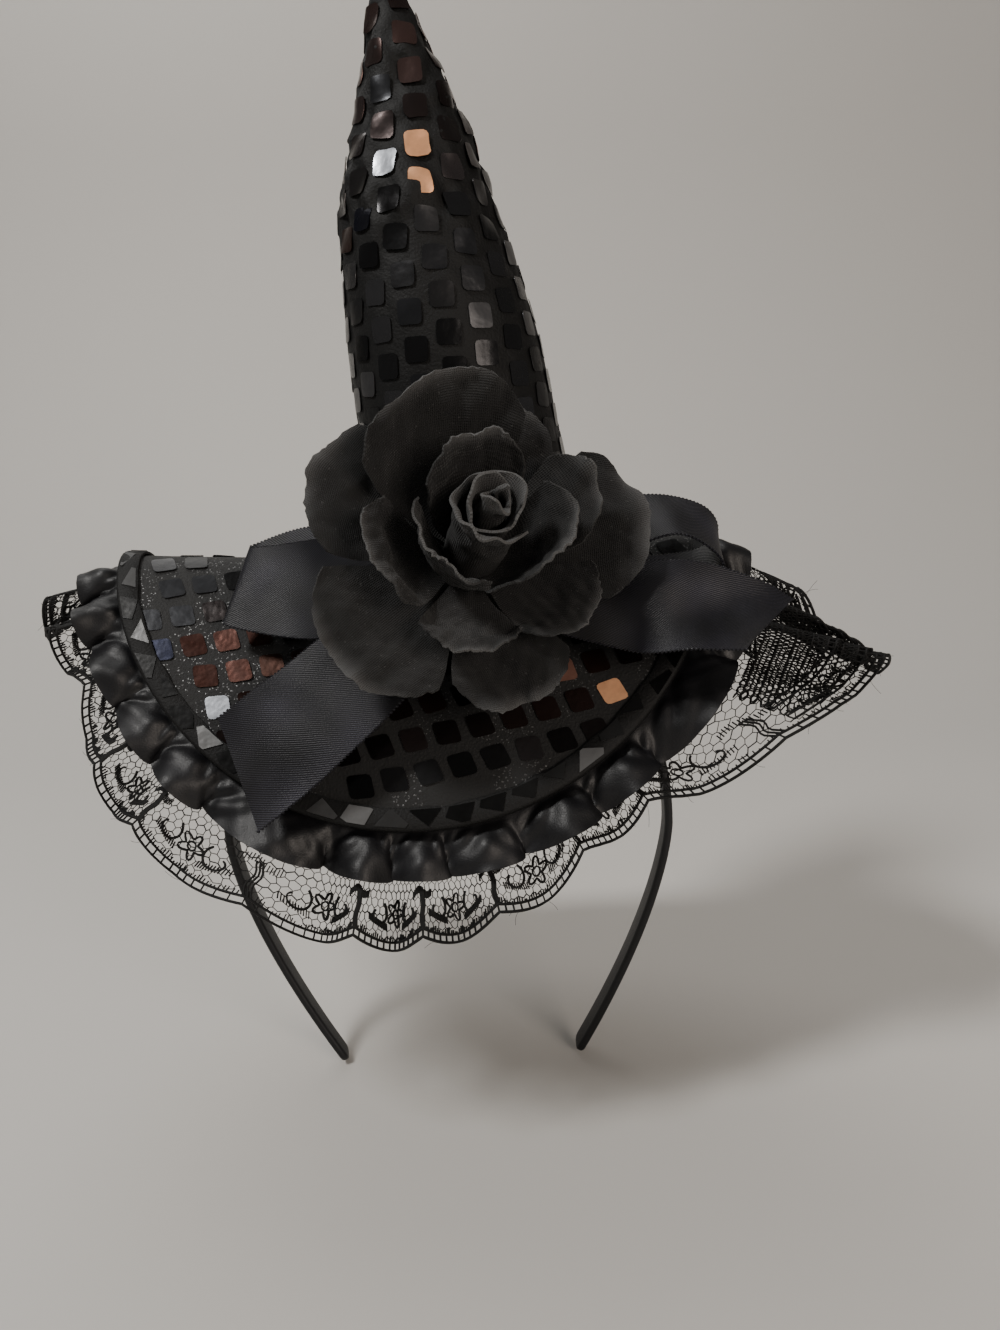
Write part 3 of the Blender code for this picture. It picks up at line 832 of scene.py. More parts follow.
def sequin_tree():
    """A sequin on every point, turned as the point says, tilted at random and laid on the cloth."""
    tree, given = new_tree("Sequins", {
        "Sequin": "Object", "Cloth": "Object", "Lift": "Float", "Tilt": "Float", "Drape": "Float",
        "Seed": "Int", "Finish": "Material"})
    tile = add_node(tree, "GeometryNodeObjectInfo", {}, {"Object": given["Sequin"]}).out("Geometry")
    cloth_skin = add_node(tree, "GeometryNodeObjectInfo", {}, {"Object": given["Cloth"]}).out("Geometry")
    facing = add_node(tree, "GeometryNodeInputNamedAttribute", {"data_type": "FLOAT_VECTOR"},
                      {"Name": "facing"})
    turned = add_node(tree, "FunctionNodeEulerToRotation", {}, {0: facing})
    wobble = add_node(tree, "FunctionNodeRandomValue", {"data_type": "FLOAT_VECTOR"},
                      {0: (-1.0, -1.0, -1.0), 1: (1.0, 1.0, 1.0), "Seed": given["Seed"]})
    tilt = add_node(tree, "ShaderNodeVectorMath", {"operation": "SCALE"},
                    {0: wobble, "Scale": given["Tilt"]})
    leant = add_node(tree, "FunctionNodeEulerToRotation", {}, {0: tilt})
    both = add_node(tree, "FunctionNodeRotateRotation", {"rotation_space": "LOCAL"},
                    {0: turned, 1: leant})
    placed = add_node(tree, "GeometryNodeInstanceOnPoints", {},
                      {"Points": given["Geometry"], "Instance": tile, "Rotation": both})
    real = add_node(tree, "GeometryNodeRealizeInstances", {}, {"Geometry": placed})
    where = add_node(tree, "GeometryNodeInputPosition")
    surface = {"data_type": "FLOAT_VECTOR"}
    near = add_node(tree, "GeometryNodeSampleNearestSurface", surface,
                    {"Mesh": cloth_skin, "Value": where})
    up = add_node(tree, "GeometryNodeSampleNearestSurface", surface,
                  {"Mesh": cloth_skin, "Value": add_node(tree, "GeometryNodeInputNormal")})
    level = add_node(tree, "GeometryNodeInputNamedAttribute", {"data_type": "FLOAT"}, {"Name": "level"})
    raised = add_node(tree, "ShaderNodeVectorMath", {"operation": "SCALE"},
                      {0: up, "Scale": level + given["Lift"]})
    lying = add_node(tree, "ShaderNodeVectorMath", {"operation": "ADD"}, {0: near, 1: raised})
    between = add_node(tree, "ShaderNodeMix", {"data_type": "VECTOR"},
                       {0: given["Drape"], 4: where, 5: lying}, 1)
    moved = add_node(tree, "GeometryNodeSetPosition", {}, {"Geometry": real, "Position": between})
    close_tree(tree, moved, given["Finish"])
    return tree


def stitch_tree():
    """A slanting stitch at every pitch along the piece's lines."""
    tree, given = new_tree("Stitches", {
        "Pitch": "Float", "Length": "Float", "Thickness": "Float", "Slant": "Float",
        "Finish": "Material"})
    line = add_node(tree, "GeometryNodeMeshToCurve", {}, {"Mesh": given["Geometry"]})
    spots = add_node(tree, "GeometryNodeCurveToPoints", {"mode": "LENGTH"},
                     {"Curve": line, "Length": given["Pitch"]})
    bead = add_node(tree, "GeometryNodeMeshIcoSphere", {}, {"Radius": 0.5, "Subdivisions": 1})
    size = add_node(tree, "ShaderNodeCombineXYZ", {},
                    {0: given["Thickness"], 1: given["Thickness"], 2: given["Length"]})
    slant = add_node(tree, "ShaderNodeCombineXYZ", {}, {0: given["Slant"]})
    lean = add_node(tree, "FunctionNodeEulerToRotation", {}, {0: slant})
    turned = add_node(tree, "FunctionNodeRotateRotation", {"rotation_space": "LOCAL"},
                      {0: spots.out("Rotation"), 1: lean})
    placed = add_node(tree, "GeometryNodeInstanceOnPoints", {},
                      {"Points": spots, "Instance": bead, "Rotation": turned, "Scale": size})
    close_tree(tree, placed, given["Finish"])
    return tree


def threads(name, lines, finish, sides=3):
    """Threads along lines, each a pair of points and a radius."""
    points = np.concatenate([line for line, _ in lines])
    radius = np.concatenate([np.full(len(line), size * MM) for line, size in lines])
    edges = []
    start = 0
    for line, _ in lines:
        edges += [(start + k, start + k + 1) for k in range(len(line) - 1)]
        start += len(line)
    piece = mesh_piece(name, points, [], None, edges, {"thread": radius})
    return grow(piece, TREES["thread"], {"Sides": sides, "Finish": finish_of(finish)})


def join(piece, other):
    """Adds another piece's mesh to a piece, and takes the other away."""
    both = bmesh.new()
    both.from_mesh(piece.data)
    both.from_mesh(other.data)
    both.to_mesh(piece.data)
    both.free()
    bpy.data.objects.remove(other)


def brim_slope_table():
    """Arc length down the front or back of the brim, with its depth and its drop."""
    arc = np.linspace(0, 1.2 * BRIM_RADIUS, 481)
    slope = RIDGE_SLOPE * (1 - np.exp(-arc / RIDGE_ROUND))
    slope = slope + (RIM_SLOPE - RIDGE_SLOPE) * arc / BRIM_RADIUS
    step = arc[1]
    depth = np.concatenate([[0], np.cumsum(np.cos(slope[:-1])) * step])
    drop = np.concatenate([[0], np.cumsum(np.sin(slope[:-1])) * step])
    return arc, depth, drop


ARC, DEPTH, DROP = brim_slope_table()


def ridge_height(along):
    rise = np.where(along < 0, RISE_LEFT, RISE_RIGHT)
    return BRIM_TOP + rise * (along / BRIM_RADIUS) ** 2


def brim_points(along, down):
    """Points on the brim's upper face: along the ridge, and down the front (-) or back (+)."""
    depth = np.interp(np.abs(down), ARC, DEPTH)
    drop = np.interp(np.abs(down), ARC, DROP)
    return np.stack([BRIM_CENTRE_X + along, np.sign(down) * depth, ridge_height(along) - drop], -1)


def brim_height(x, y):
    return ridge_height(x - BRIM_CENTRE_X) - np.interp(np.abs(y), DEPTH, DROP)


def brim_down(y):
    """The arc length down the brim that lies above a depth y."""
    return np.sign(y) * np.interp(np.abs(y), DEPTH, ARC)


def rim_frames(share):
    """The rim's points, outward directions and upward directions at shares of a turn."""
    turn = 2 * math.pi * share
    cos, sin = np.cos(turn), np.sin(turn)
    edge = brim_points(BRIM_RADIUS * cos, BRIM_RADIUS * sin)
    inner = BRIM_RADIUS - 1.0
    outward = unit(edge - brim_points(inner * cos, inner * sin))
    ahead = (brim_points(BRIM_RADIUS * cos - sin, BRIM_RADIUS * sin + cos)
             - brim_points(BRIM_RADIUS * cos + sin, BRIM_RADIUS * sin - cos))
    return edge, outward, unit(np.cross(outward, ahead))


def frill_size(share, field):
    """One of the frill table's fields at shares of a turn, with its corners rounded off."""
    table = np.array(FRILL_SECTIONS + [(360.0,) + FRILL_SECTIONS[0][1:]])
    column = table[:, FRILL_FIELDS.index(field)]
    spread = (-0.006, 0.0, 0.006)
    return sum(np.interp((share + s) % 1.0 * 360.0, table[:, 0], column) for s in spread) / len(spread)


def fold_phase(share):
    """How many folds lie before a share of the rim; some folds are wider than others."""
    turn = 2 * math.pi * share
    return FOLDS * share + 0.24 * np.sin(5 * turn + 1.0) + 0.15 * np.sin(9 * turn + 2.4)


def fold_wave(share):
    """The folds' height between -1 and 1: round on top and tighter below."""
    phase = fold_phase(share)
    round_top = 2 * np.abs(np.cos(math.pi * phase)) - 1
    turn = 2 * math.pi * share
    size = 0.82 + 0.14 * np.sin(6 * turn + 0.7) + 0.10 * np.sin(11 * turn + 2.0)
    return size * (0.55 * np.cos(2 * math.pi * phase) + 0.45 * round_top)


def frill_points(share, past, level):
    """Points of a frill: how far past the rim, and how far below the brim's upper face."""
    edge, outward, upward = rim_frames(share)
    bend = np.radians(frill_size(share, "bend"))[..., None]
    flat = np.minimum(past, FLAT_PAST_RIM)[..., None]
    free = np.maximum(past - FLAT_PAST_RIM, 0.0)
    fall = unit(outward * np.cos(bend) - WORLD_UP * np.sin(bend))
    wave = FOLD_RISE * free * fold_wave(share)
    return edge + outward * flat + fall * free[..., None] + upward * (wave - level)[..., None]


def picture_places(points):
    """Where points show in the picture, in pixels from its upper left corner."""
    right, down, forward = camera_axes()
    seen = points - np.array(CAMERA_PLACE)
    depth = seen @ forward
    return np.stack([PICTURE_WIDTH / 2 + FOCAL_PIXELS * (seen @ right) / depth,
                     PICTURE_HEIGHT / 2 + FOCAL_PIXELS * (seen @ down) / depth], -1)


def camera_axes():
    """The camera's right, down and forward directions."""
    s, c = math.sin(CAMERA_ROLL), math.cos(CAMERA_ROLL)
    sp, cp = math.sin(CAMERA_PITCH), math.cos(CAMERA_PITCH)
    return np.array(((c, -s * sp, -s * cp), (-s, -c * sp, -c * cp), (0.0, cp, -sp)))


def light_up(foil_and_glint, places, flashes):
    """Gives the sequin nearest to each flash its foil; the bright foils among them are painted
    reflections.
    """
    seen = picture_places(places)
    hidden = np.where(places[:, 1] < 0, 0.0, 1e4)
    for x, y, colour in flashes:
        foil_and_glint[(np.hypot(seen[:, 0] - x, seen[:, 1] - y) + hidden).argmin()] = colour


def facing_angles(ahead, up):
    """Euler angles that turn a flat sequin's x to ahead and its z to up."""
    side = unit(np.cross(up, ahead))
    ahead = np.cross(side, up)
    found = []
    for x, y, z in zip(ahead, side, up):
        found.append(tuple(Matrix((x, y, z)).transposed().to_euler()))
    return np.array(found)


def sequin_tile(size, slant):
    """A small square with rounded corners, drawn once and set on every sequin's point."""
    steps = np.array((-1.0, -0.66, 0.0, 0.66, 1.0)) * size / 2
    x, y = np.meshgrid(steps, steps)
    pull = np.where((np.abs(x) > 0.49 * size) & (np.abs(y) > 0.49 * size), 0.90, 1.0)
    grid = np.stack([(x + slant * y) * pull, y * pull, np.zeros_like(x)], -1)
    tile = cloth("sequin_pattern", grid, SEQUIN_WALL, "sequin")
    place = np.zeros(len(tile.data.vertices) * 3, np.float32)
    tile.data.vertices.foreach_get("co", place)
    level = tile.data.attributes.new("level", "FLOAT", "POINT")
    level.data.foreach_set("value", place.reshape(-1, 3)[:, 2].copy())
    return tile


def foil_colours(count, seed, warm, shine):
    """A dark foil for each sequin; warm is the share of copper in it, and shine brightens it."""
    random = np.random.default_rng(seed)
    tone = shine * (0.010 + 0.038 * random.random(count) ** 2.0)
    cold = np.stack([tone, tone, tone * 1.05], -1)
    copper = np.stack([tone * 2.0, tone * 0.95, tone * 0.75], -1)
    mixed = cold + (copper - cold) * warm[:, None]
    return np.concatenate([mixed, random.uniform(0.1, 0.5, (count, 1))], axis=1)


def sequins(name, places, ahead, up, foil_and_glint, base, size, slant, tilt, drape, seed):
    """Sequins at places on a cloth."""
    piece = mesh_piece(name, places, [], None, (), {"facing": facing_angles(ahead, up), "foil_and_glint": foil_and_glint})
    tile = sequin_tile(size, slant)
    grow(piece, TREES["sequins"], {
        "Sequin": tile, "Cloth": base, "Lift": SEQUIN_LIFT * MM, "Tilt": tilt, "Drape": drape,
        "Seed": seed, "Finish": finish_of("sequin")})
    bpy.data.objects.remove(tile)
    return piece


def make_headband():
    """The covered band, with a raised seam along its front edge."""
    half = (BAND_SPAN - BAND_WALL) / 2
    inset = half - (BAND_TIP_GAP + BAND_WALL) / 2
    turns = np.linspace(0, math.pi / 2, 40, endpoint=False)
    share = np.linspace(0, 1, 30)
    arch = np.stack([half * np.sin(turns), 0 * turns,
                     (BAND_WIDEST + BAND_WALL / 2) * np.cos(turns) - BAND_WIDEST, 0 * turns], -1)
    leg = np.stack([half - inset * share ** BAND_LEG_CURVE, 0 * share,
                    -BAND_WIDEST - (BAND_HEIGHT - BAND_WIDEST) * share, share], -1)
    side = np.concatenate([arch, leg])
    line = np.concatenate([side[::-1] * (-1, 1, 1, 1), side[1:]])
    places = line[:, :3]
    heading = unit(np.gradient(places, axis=0))
    turn = np.linspace(0, 2 * math.pi, 28, endpoint=False)
    wide_share = np.sign(np.cos(turn)) * np.abs(np.cos(turn)) ** BAND_CORNER
    thick_share = np.sign(np.sin(turn)) * np.abs(np.sin(turn)) ** BAND_CORNER
    seam = 1 + BAND_SEAM * np.exp(-((wide_share + BAND_SEAM_PLACE) / BAND_SEAM_WIDTH) ** 2)
    rings = []
    for place, ahead, x, down in zip(places, heading, line[:, 0], line[:, 3]):
        twist = math.radians(BAND_LEFT_TWIST) * down if x < 0 else 0.0
        outward = -unit(np.cross(ahead, (0.0, 1.0, 0.0)))
        deep = np.array((0.0, 1.0, 0.0))
        wide = deep * math.cos(twist) - outward * math.sin(twist)
        thick = outward * math.cos(twist) + deep * math.sin(twist)
        rings.append(place + np.outer(wide_share, wide) * BAND_WIDTH / 2
                     + np.outer(thick_share * seam, thick) * BAND_WALL / 2)
    tips = []
    for ring, ahead in ((rings[0], -heading[0]), (rings[-1], heading[-1])):
        middle = ring.mean(axis=0)
        bow = [math.radians(angle) for angle in BAND_TIP_ANGLES]
        tips.append([middle + (ring - middle) * math.cos(a) + ahead * BAND_TIP_REACH * math.sin(a)
                     for a in bow])
    rings = tips[0][::-1] + rings + tips[1]
    fit(swept("headband_cover", rings, "satin"), "headband", slot="satin")


def make_brim(settings):
    """The brim's cloth and its sequins in slanting rows."""
    columns, rows = 224, 26
    turn = 2 * math.pi * np.arange(columns) / columns
    share = np.linspace(0, 1, rows + 1)[:, None]
    hole_x = CROWN_SECTIONS[1][1] + CROWN_HOLE_RADIUS * np.cos(turn) - BRIM_CENTRE_X
    hole_down = brim_down(CROWN_HOLE_RADIUS * np.sin(turn))
    along = hole_x + (BRIM_RADIUS * np.cos(turn) - hole_x) * share
    down = hole_down + (BRIM_RADIUS * np.sin(turn) - hole_down) * share
    upper = brim_points(along, down)
    normal = -sheet_normal(upper, True)
    middle = upper - normal * BRIM_WALL / 2
    # Glitter in the brim's knit, and painted light: its ground is made lighter than the crown's.
    glitter_and_painted_light = np.ones(middle.shape[:2])
    cloth_piece = face_outwards(cloth("brim_cloth", middle, BRIM_WALL, "sequin_cloth", ring=True,
                                      values={"glitter_and_painted_light": glitter_and_painted_light}))
    fit(cloth_piece, "brim", slot="sequin_cloth")
    tiles = brim_sequins(cloth_piece, settings)
    area = sheet_area(middle, True) * MM ** 2


def brim_sequins(cloth_piece, settings):
    """Slanting rows of sequins, clear of the rim, the ridge and the crown."""
    pitch = settings.sequin_pitch / MM
    steps = np.arange(-BRIM_ROWS, BRIM_ROWS)
    i, j = np.meshgrid(steps, steps)
    i, j = i.ravel(), j.ravel()
    c, s = math.cos(BRIM_ROW_ANGLE), math.sin(BRIM_ROW_ANGLE)
    along = pitch * (i * c - j * s + BRIM_ROW_SLANT * j) + BRIM_ROWS_SHIFT
    down = pitch * (i * s + j * c) - BRIM_ROWS_SHIFT
    x = BRIM_CENTRE_X + along
    y = np.sign(down) * np.interp(np.abs(down), ARC, DEPTH)
    inside = np.hypot(along, down) < BRIM_RADIUS - BINDING_WIDTH - RIM_CLEARANCE
    clear = np.hypot(x - CROWN_SECTIONS[1][1], y) > CROWN_SECTIONS[1][2] + CROWN_CLEARANCE
    keep = inside & clear & (np.abs(down) > RIDGE_CLEARANCE)
    along, down, x = along[keep], down[keep], x[keep]
    places = brim_points(along, down)
    step = 0.5
    ahead = unit(brim_points(along + step * c, down + step * s) - places)
    across = unit(brim_points(along, down + step) - places)
    up = unit(np.cross(ahead, across))
    up = up * np.sign(up[:, 2:])
    warm = np.clip(1.4 - np.abs(places[:, 2] + 22) / 14, 0, 1) * (down < 0)
    foil_and_glint = foil_colours(len(places), SEEDS["brim foil"], warm, BRIM_SHINE)
    light_up(foil_and_glint, places, BRIM_FLASHES)
    piece = sequins("brim_sequins", places + up * SEQUIN_LIFT, ahead, up, foil_and_glint, cloth_piece,
                    settings.sequin_size / MM, slant=BRIM_TILE_SLANT, tilt=math.radians(6),
                    drape=0.6, seed=SEEDS["brim tilt"])
    return fit(piece, slot="sequin_cloth")


def make_binding():
    """The binding strip folded over the rim, and the sequins that its cutting left on it."""
    out = GAP + BINDING_WALL
    low = -BRIM_WALL - GAP
    section = [(-BINDING_WIDTH, GAP), (-BINDING_WIDTH, out - 0.2), (-BINDING_WIDTH + 0.3, out),
               (-1.5, out), (out - 0.8, out), (out - 0.2, out - 0.3), (out, out - 0.9),
               (out, low - BINDING_WALL + 0.9), (out - 0.2, low - BINDING_WALL + 0.3),
               (out - 0.8, low - BINDING_WALL), (-BINDING_WIDTH, low - BINDING_WALL),
               (-BINDING_WIDTH, low), (GAP, low), (GAP, GAP)]
    share = np.arange(336) / 336
    edge, outward, upward = rim_frames(share)
    wobble = 0.14 * np.sin(share * 2 * math.pi * 31) + 0.10 * np.sin(share * 2 * math.pi * 53 + 1)
    rings = np.stack([edge + outward * (o - wobble * (o < -4))[:, None] + upward * u
                      for o, u in section], axis=1)
    strip = swept("binding_strip", rings, "sequin_cloth", closed=True)
    fit(strip, "brim_binding", slot="sequin_cloth")
    cut = fit(cut_sequins(out + 0.10), slot="sequin_cloth")


def clip(shape, limit, keep_above):
    """The part of a polygon on one side of a line across the strip."""
    kept = []
    sign = 1 if keep_above else -1
    for k, here in enumerate(shape):
        after = shape[(k + 1) % len(shape)]
        a, b = (here[1] - limit) * sign, (after[1] - limit) * sign
        if a > 0:
            kept.append(here)
        if (a > 0) != (b > 0):
            kept.append(here + (after - here) * a / (a - b))
    return kept


def cut_sequins(level):
    """Square sequins on the strip, cut off along both of its edges."""
    random = np.random.default_rng(SEEDS["cut sequins"])
    points, faces, foil_and_glint = [], [], []
    around = 2 * math.pi * BRIM_RADIUS
    count = int(around / CUT_PITCH)
    for k in range(count):
        centre = np.array((k * around / count, CUT_MIDDLE + random.uniform(-CUT_SPREAD, CUT_SPREAD)))
        lean = math.radians(CUT_LEAN + random.uniform(-CUT_LEAN_SPREAD, CUT_LEAN_SPREAD))
        corners = CUT_HALF * np.array([(1, 1), (-1, 1), (-1, -1), (1, -1)])
        c, s = math.cos(lean), math.sin(lean)
        turned = corners @ np.array([(c, s), (-s, c)])
        shape = clip(clip(list(turned + centre), -BINDING_WIDTH + 0.5, True), 0.3, False)
        if len(shape) < 3:
            continue
        shape = np.array(shape)
        edge, outward, upward = rim_frames(shape[:, 0] / around)
        start, sides = len(points), len(shape)
        tone = 0.008 + 0.30 * random.random() ** 9
        for lift in (level + SEQUIN_WALL, level):
            points += list(edge + outward * shape[:, 1:] + upward * lift)
            foil_and_glint += [(tone, tone, tone, 0.4)] * sides
        faces.append([start + n for n in range(sides)])
        faces.append([start + sides + n for n in reversed(range(sides))])
        for n in range(sides):
            m = (n + 1) % sides
            faces.append([start + m, start + n, start + sides + n, start + sides + m])
    return face_outwards(mesh_piece("binding_sequins", points, faces, "sequin", (), {"foil_and_glint": foil_and_glint}))


def crown_grid(columns, rows):
    """Outer points of the crown, a row for each share of its height."""
    table = smooth(CROWN_SECTIONS, 24)
    turn = 2 * math.pi * np.arange(columns) / columns
    base_x, base_radius = CROWN_SECTIONS[1][1:]
    base = brim_height(base_x + base_radius * np.cos(turn), base_radius * np.sin(turn)) + CROWN_LIFT
    share = np.linspace(0, 1, rows + 1)[:, None]
    height = base + (CROWN_SECTIONS[-1][0] - base) * share
    centre = np.interp(height, table[:, 0], table[:, 1])
    radius = np.interp(height, table[:, 0], table[:, 2])
    grid = np.stack([centre + radius * np.cos(turn), radius * np.sin(turn), height], -1)
    ease = np.clip((height - CRUMPLE_FROM) / (CRUMPLE_FULL - CRUMPLE_FROM), 0, 1)
    depth = CRUMPLE_DEPTH * ease * np.minimum(radius / 8, 1) + 0.12
    coarse = ripple(grid, CRUMPLE_PITCH, SEEDS["crumple"])
    fine = ripple(grid, CRUMPLE_PITCH / 2, SEEDS["fine crumple"])
    bumps = coarse * 0.6 + fine * 0.3 - 0.4
    way = np.stack([np.cos(turn) + 0 * share, np.sin(turn) + 0 * share, 0 * height], -1)
    return grid + way * (bumps * depth)[..., None]


def make_crown(settings):
    """The crown's cloth, crumpled towards its tip, with sequins in columns that run up it."""
    outer = crown_grid(CROWN_COLUMNS, CROWN_ROWS)
    middle = outer[..., :2].mean(axis=1, keepdims=True)
    inner_way = outer[..., :2] - middle
    distance = np.linalg.norm(inner_way, axis=-1, keepdims=True)
    inner = outer.copy()
    inner[..., :2] = middle + inner_way * np.maximum(distance - CROWN_WALL, 0.15) / distance
    rings = np.concatenate([inner[:-CROWN_SOLID_ROWS][::-1], outer])
    cloth_piece = swept("crown_cloth", rings, "sequin_cloth")
    fit(cloth_piece, "crown", slot="sequin_cloth")
    tiles = crown_sequins(cloth_piece, settings)
    area = sheet_area(outer, True) * MM ** 2


def crown_sequins(cloth_piece, settings):
    """Columns a pitch apart at the widest part, fewer where the cone narrows."""
    pitch = settings.sequin_pitch / MM
    table = smooth(CROWN_SECTIONS, 24)
    columns = int(2 * math.pi * CROWN_WIDEST / pitch)
    places, ahead, up = [], [], []
    for c in range(columns):
        offset = c * pitch / CROWN_WIDEST
        height = -28.0 + pitch * ((0.42 * c) % 1.0)
        while height < 140.0:
            radius = np.interp(height, table[:, 0], table[:, 2])
            lean = (offset - math.pi) * CROWN_WIDEST
            inside = abs(lean) < math.pi * radius - 0.4 * pitch
            turn = -math.pi / 2 + lean / radius
            x = np.interp(height, table[:, 0], table[:, 1]) + radius * math.cos(turn)
            y = radius * math.sin(turn)
            above = height > brim_height(x, y) + CROWN_LIFT + BASE_CLEARANCE
            if inside and above:
                slope = np.interp(height + 1, table[:, 0], table[:, 2]) - radius
                places.append((x, y, height))
                up.append((math.cos(turn), math.sin(turn), -slope))
                ahead.append((-math.sin(turn), math.cos(turn), 0.0))
            height += pitch * 1.02
    places, ahead, up = np.array(places), np.array(ahead), unit(np.array(up))
    loose = np.clip((places[:, 2:] - CRUMPLE_FROM) / (CRUMPLE_FULL - CRUMPLE_FROM), 0, 1)
    random = np.random.default_rng(SEEDS["loose sequins"])
    up = unit(up + random.normal(0, 0.16, up.shape) * loose)
    warm = np.clip((places[:, 2] - 90) / 60, 0, 0.6)
    foil_and_glint = foil_colours(len(places), SEEDS["crown foil"], warm, CROWN_SHINE)
    light_up(foil_and_glint, places, CROWN_FLASHES)
    piece = sequins("crown_sequins", places + up * SEQUIN_LIFT, ahead, up, foil_and_glint, cloth_piece,
                    settings.sequin_size / MM, slant=0.0, tilt=math.radians(4), drape=0.75,
                    seed=SEEDS["crown tilt"])
    return fit(piece, slot="sequin_cloth")


def make_satin_frill():
    """The gathered satin, with round folds and small creases where it is sewn."""
    columns, rows = FOLDS * SATIN_COLUMNS_PER_FOLD, SATIN_ROWS
    share = np.arange(columns) / columns
    reach = frill_size(share, "satin_reach")
    run = np.linspace(0, 1, rows + 1)[:, None]
    past = -SATIN_TUCK + (reach + SATIN_TUCK) * run
    free = np.maximum(past - FLAT_PAST_RIM, 0.0)
    bulge = np.clip(free / (reach - FLAT_PAST_RIM), 0, 1)
    swell = np.clip(free, 0, 1.5) / 1.5
    puff = SATIN_PUFF * np.sin(math.pi * bulge ** 0.8) * (0.45 + 0.55 * fold_wave(share))
    turn = 2 * math.pi * share
    fade = CREASE_HEIGHT * np.exp(-free / CREASE_FADE)
    crease = fade * np.sin(2 * math.pi * fold_phase(share) * CREASES_PER_FOLD + 0.4 * free)
    small = 0.34 * np.sin(61 * turn + 0.9 * free) * np.sin(17 * turn + 0.4)
    small = small + 0.16 * np.sin(97 * turn - 0.7 * free + 1.0)
    level = BRIM_WALL + 2 * GAP + BINDING_WALL + FRILL_WALL / 2
    lean = SATIN_LEAN / FOLDS * np.sin(2 * math.pi * fold_phase(share) + 0.6) * bulge
    lobed = past + SATIN_LOBE * bulge ** 2 * fold_wave(share)
    deeper = SATIN_DEEPENING * FOLD_RISE * free * bulge * fold_wave(share)
    grid = frill_points((share + lean) % 1.0, lobed, level - puff - deeper - (crease + small) * swell)
    piece = face_outwards(cloth("satin_frill", grid, SATIN_WALL, "satin", ring=True))
    fit(piece, "satin_ruffle", slot="satin")
    area = sheet_area(grid, True) * MM ** 2


def lace_place(phase, past, lift=0.0):
    """Where a point of the lace hangs; phase counts the scallops round the rim."""
    share = phase / FOLDS
    for _ in range(4):
        share = share - (fold_phase(share) - phase) / FOLDS
    level = BRIM_WALL + 4 * GAP + BINDING_WALL + FRILL_WALL * 1.5 + LACE_DROOP * np.maximum(past, 0)
    return frill_points(share % 1.0, past, level - lift), share % 1.0


def lace_edge(phase):
    """How far the scalloped edge reaches past the rim."""
    _, share = lace_place(phase, np.zeros_like(phase))
    return frill_size(share, "lace_reach") + SCALLOP_DEPTH * np.abs(np.sin(math.pi * phase))


def net_lines(cell, thread, first=0.0, last=FOLDS, start=NET_START, reach_share=1.0, lift=0.0):
    """A net of six-sided cells: zigzag threads along the lace, and links between them."""
    random = np.random.default_rng(SEEDS["net"])
    per_fold = int(round(SCALLOP_WIDTH / cell))
    steps = int(2 * per_fold * (last - first))
    row_pitch = cell * CELL_ROW_SHARE
    bend = cell * CELL_BEND_SHARE
    lines = []
    phase = first + np.arange(steps + 1) / (2 * per_fold)
    limit = lace_edge(phase) * reach_share - NET_MARGIN
    rows = int(NET_DEPTH / row_pitch)
    jitter_phase = random.normal(0, 0.006, (rows + 1, steps + 1))
    jitter_past = random.normal(0, 0.10, (rows + 1, steps + 1))
    for table in (jitter_phase, jitter_past):
        table[:, -1] = table[:, 0]
    marks = []
    for r in range(rows + 1):
        upper = (np.arange(steps + 1) + r) % 2 == 1
        past = start + r * row_pitch + np.where(upper, bend, -bend) + jitter_past[r]
        place, _ = lace_place(phase + jitter_phase[r], past, lift)
        marks.append((place, past < limit))
    for r, (place, inside) in enumerate(marks):
        heavy = 1.5 if r % 3 == 1 else 1.0
        begin = None
        for k in range(steps + 1):
            if inside[k] and begin is None:
                begin = k
            if begin is not None and (not inside[k] or k == steps):
                end = k + 1 if inside[k] else k
                if end - begin > 1:
                    lines.append((place[begin:end], thread * heavy))
                begin = None
        if r < rows:
            above, inside_above = marks[r + 1]
            for k in range(steps):
                if (k + r) % 2 == 1 and inside[k] and inside_above[k]:
                    lines.append((np.array((place[k], above[k])), thread))
    return lines


def lace_line(phase, inside, reach_share=1.0, lift=0.0):
    """A line on the lace: scallop phase, and distance inside the scalloped edge."""
    phase, inside = np.asarray(phase, float), np.asarray(inside, float)
    place, _ = lace_place(phase, np.maximum(lace_edge(phase) * reach_share - inside, 1.0), lift)
    return place


def border_lines(first=0.0, last=FOLDS, reach_share=1.0, lift=0.0):
    """Two cords along the scallops, the rungs between them, and a dense row of threads inside."""
    phase = np.linspace(first, last, int((last - first) * BORDER_STEPS) + 1)
    lines = [(lace_line(phase, np.full_like(phase, inside), reach_share, lift), thread)
             for inside, thread in ((BORDER_OUTER, CORD), (BORDER_INNER, INNER_CORD))]
    for k in range(int((last - first) * RUNGS)):
        spot = first + k / RUNGS
        rung = lace_line((spot, spot), (BORDER_OUTER, BORDER_INNER), reach_share, lift)
        lines.append((rung, RUNG_THREAD))
    random = np.random.default_rng(SEEDS["border"])
    for k in range(int((last - first) * FRINGE)):
        spot = first + k / FRINGE + random.normal(0, 0.003)
        deep = 3.1 + 0.5 * math.sin(k * 0.9) + random.uniform(-0.2, 0.3)
        short = lace_line((spot, spot + 0.006), (BORDER_INNER, deep), reach_share, lift)
        lines.append((short, FRINGE_THREAD))
    return lines


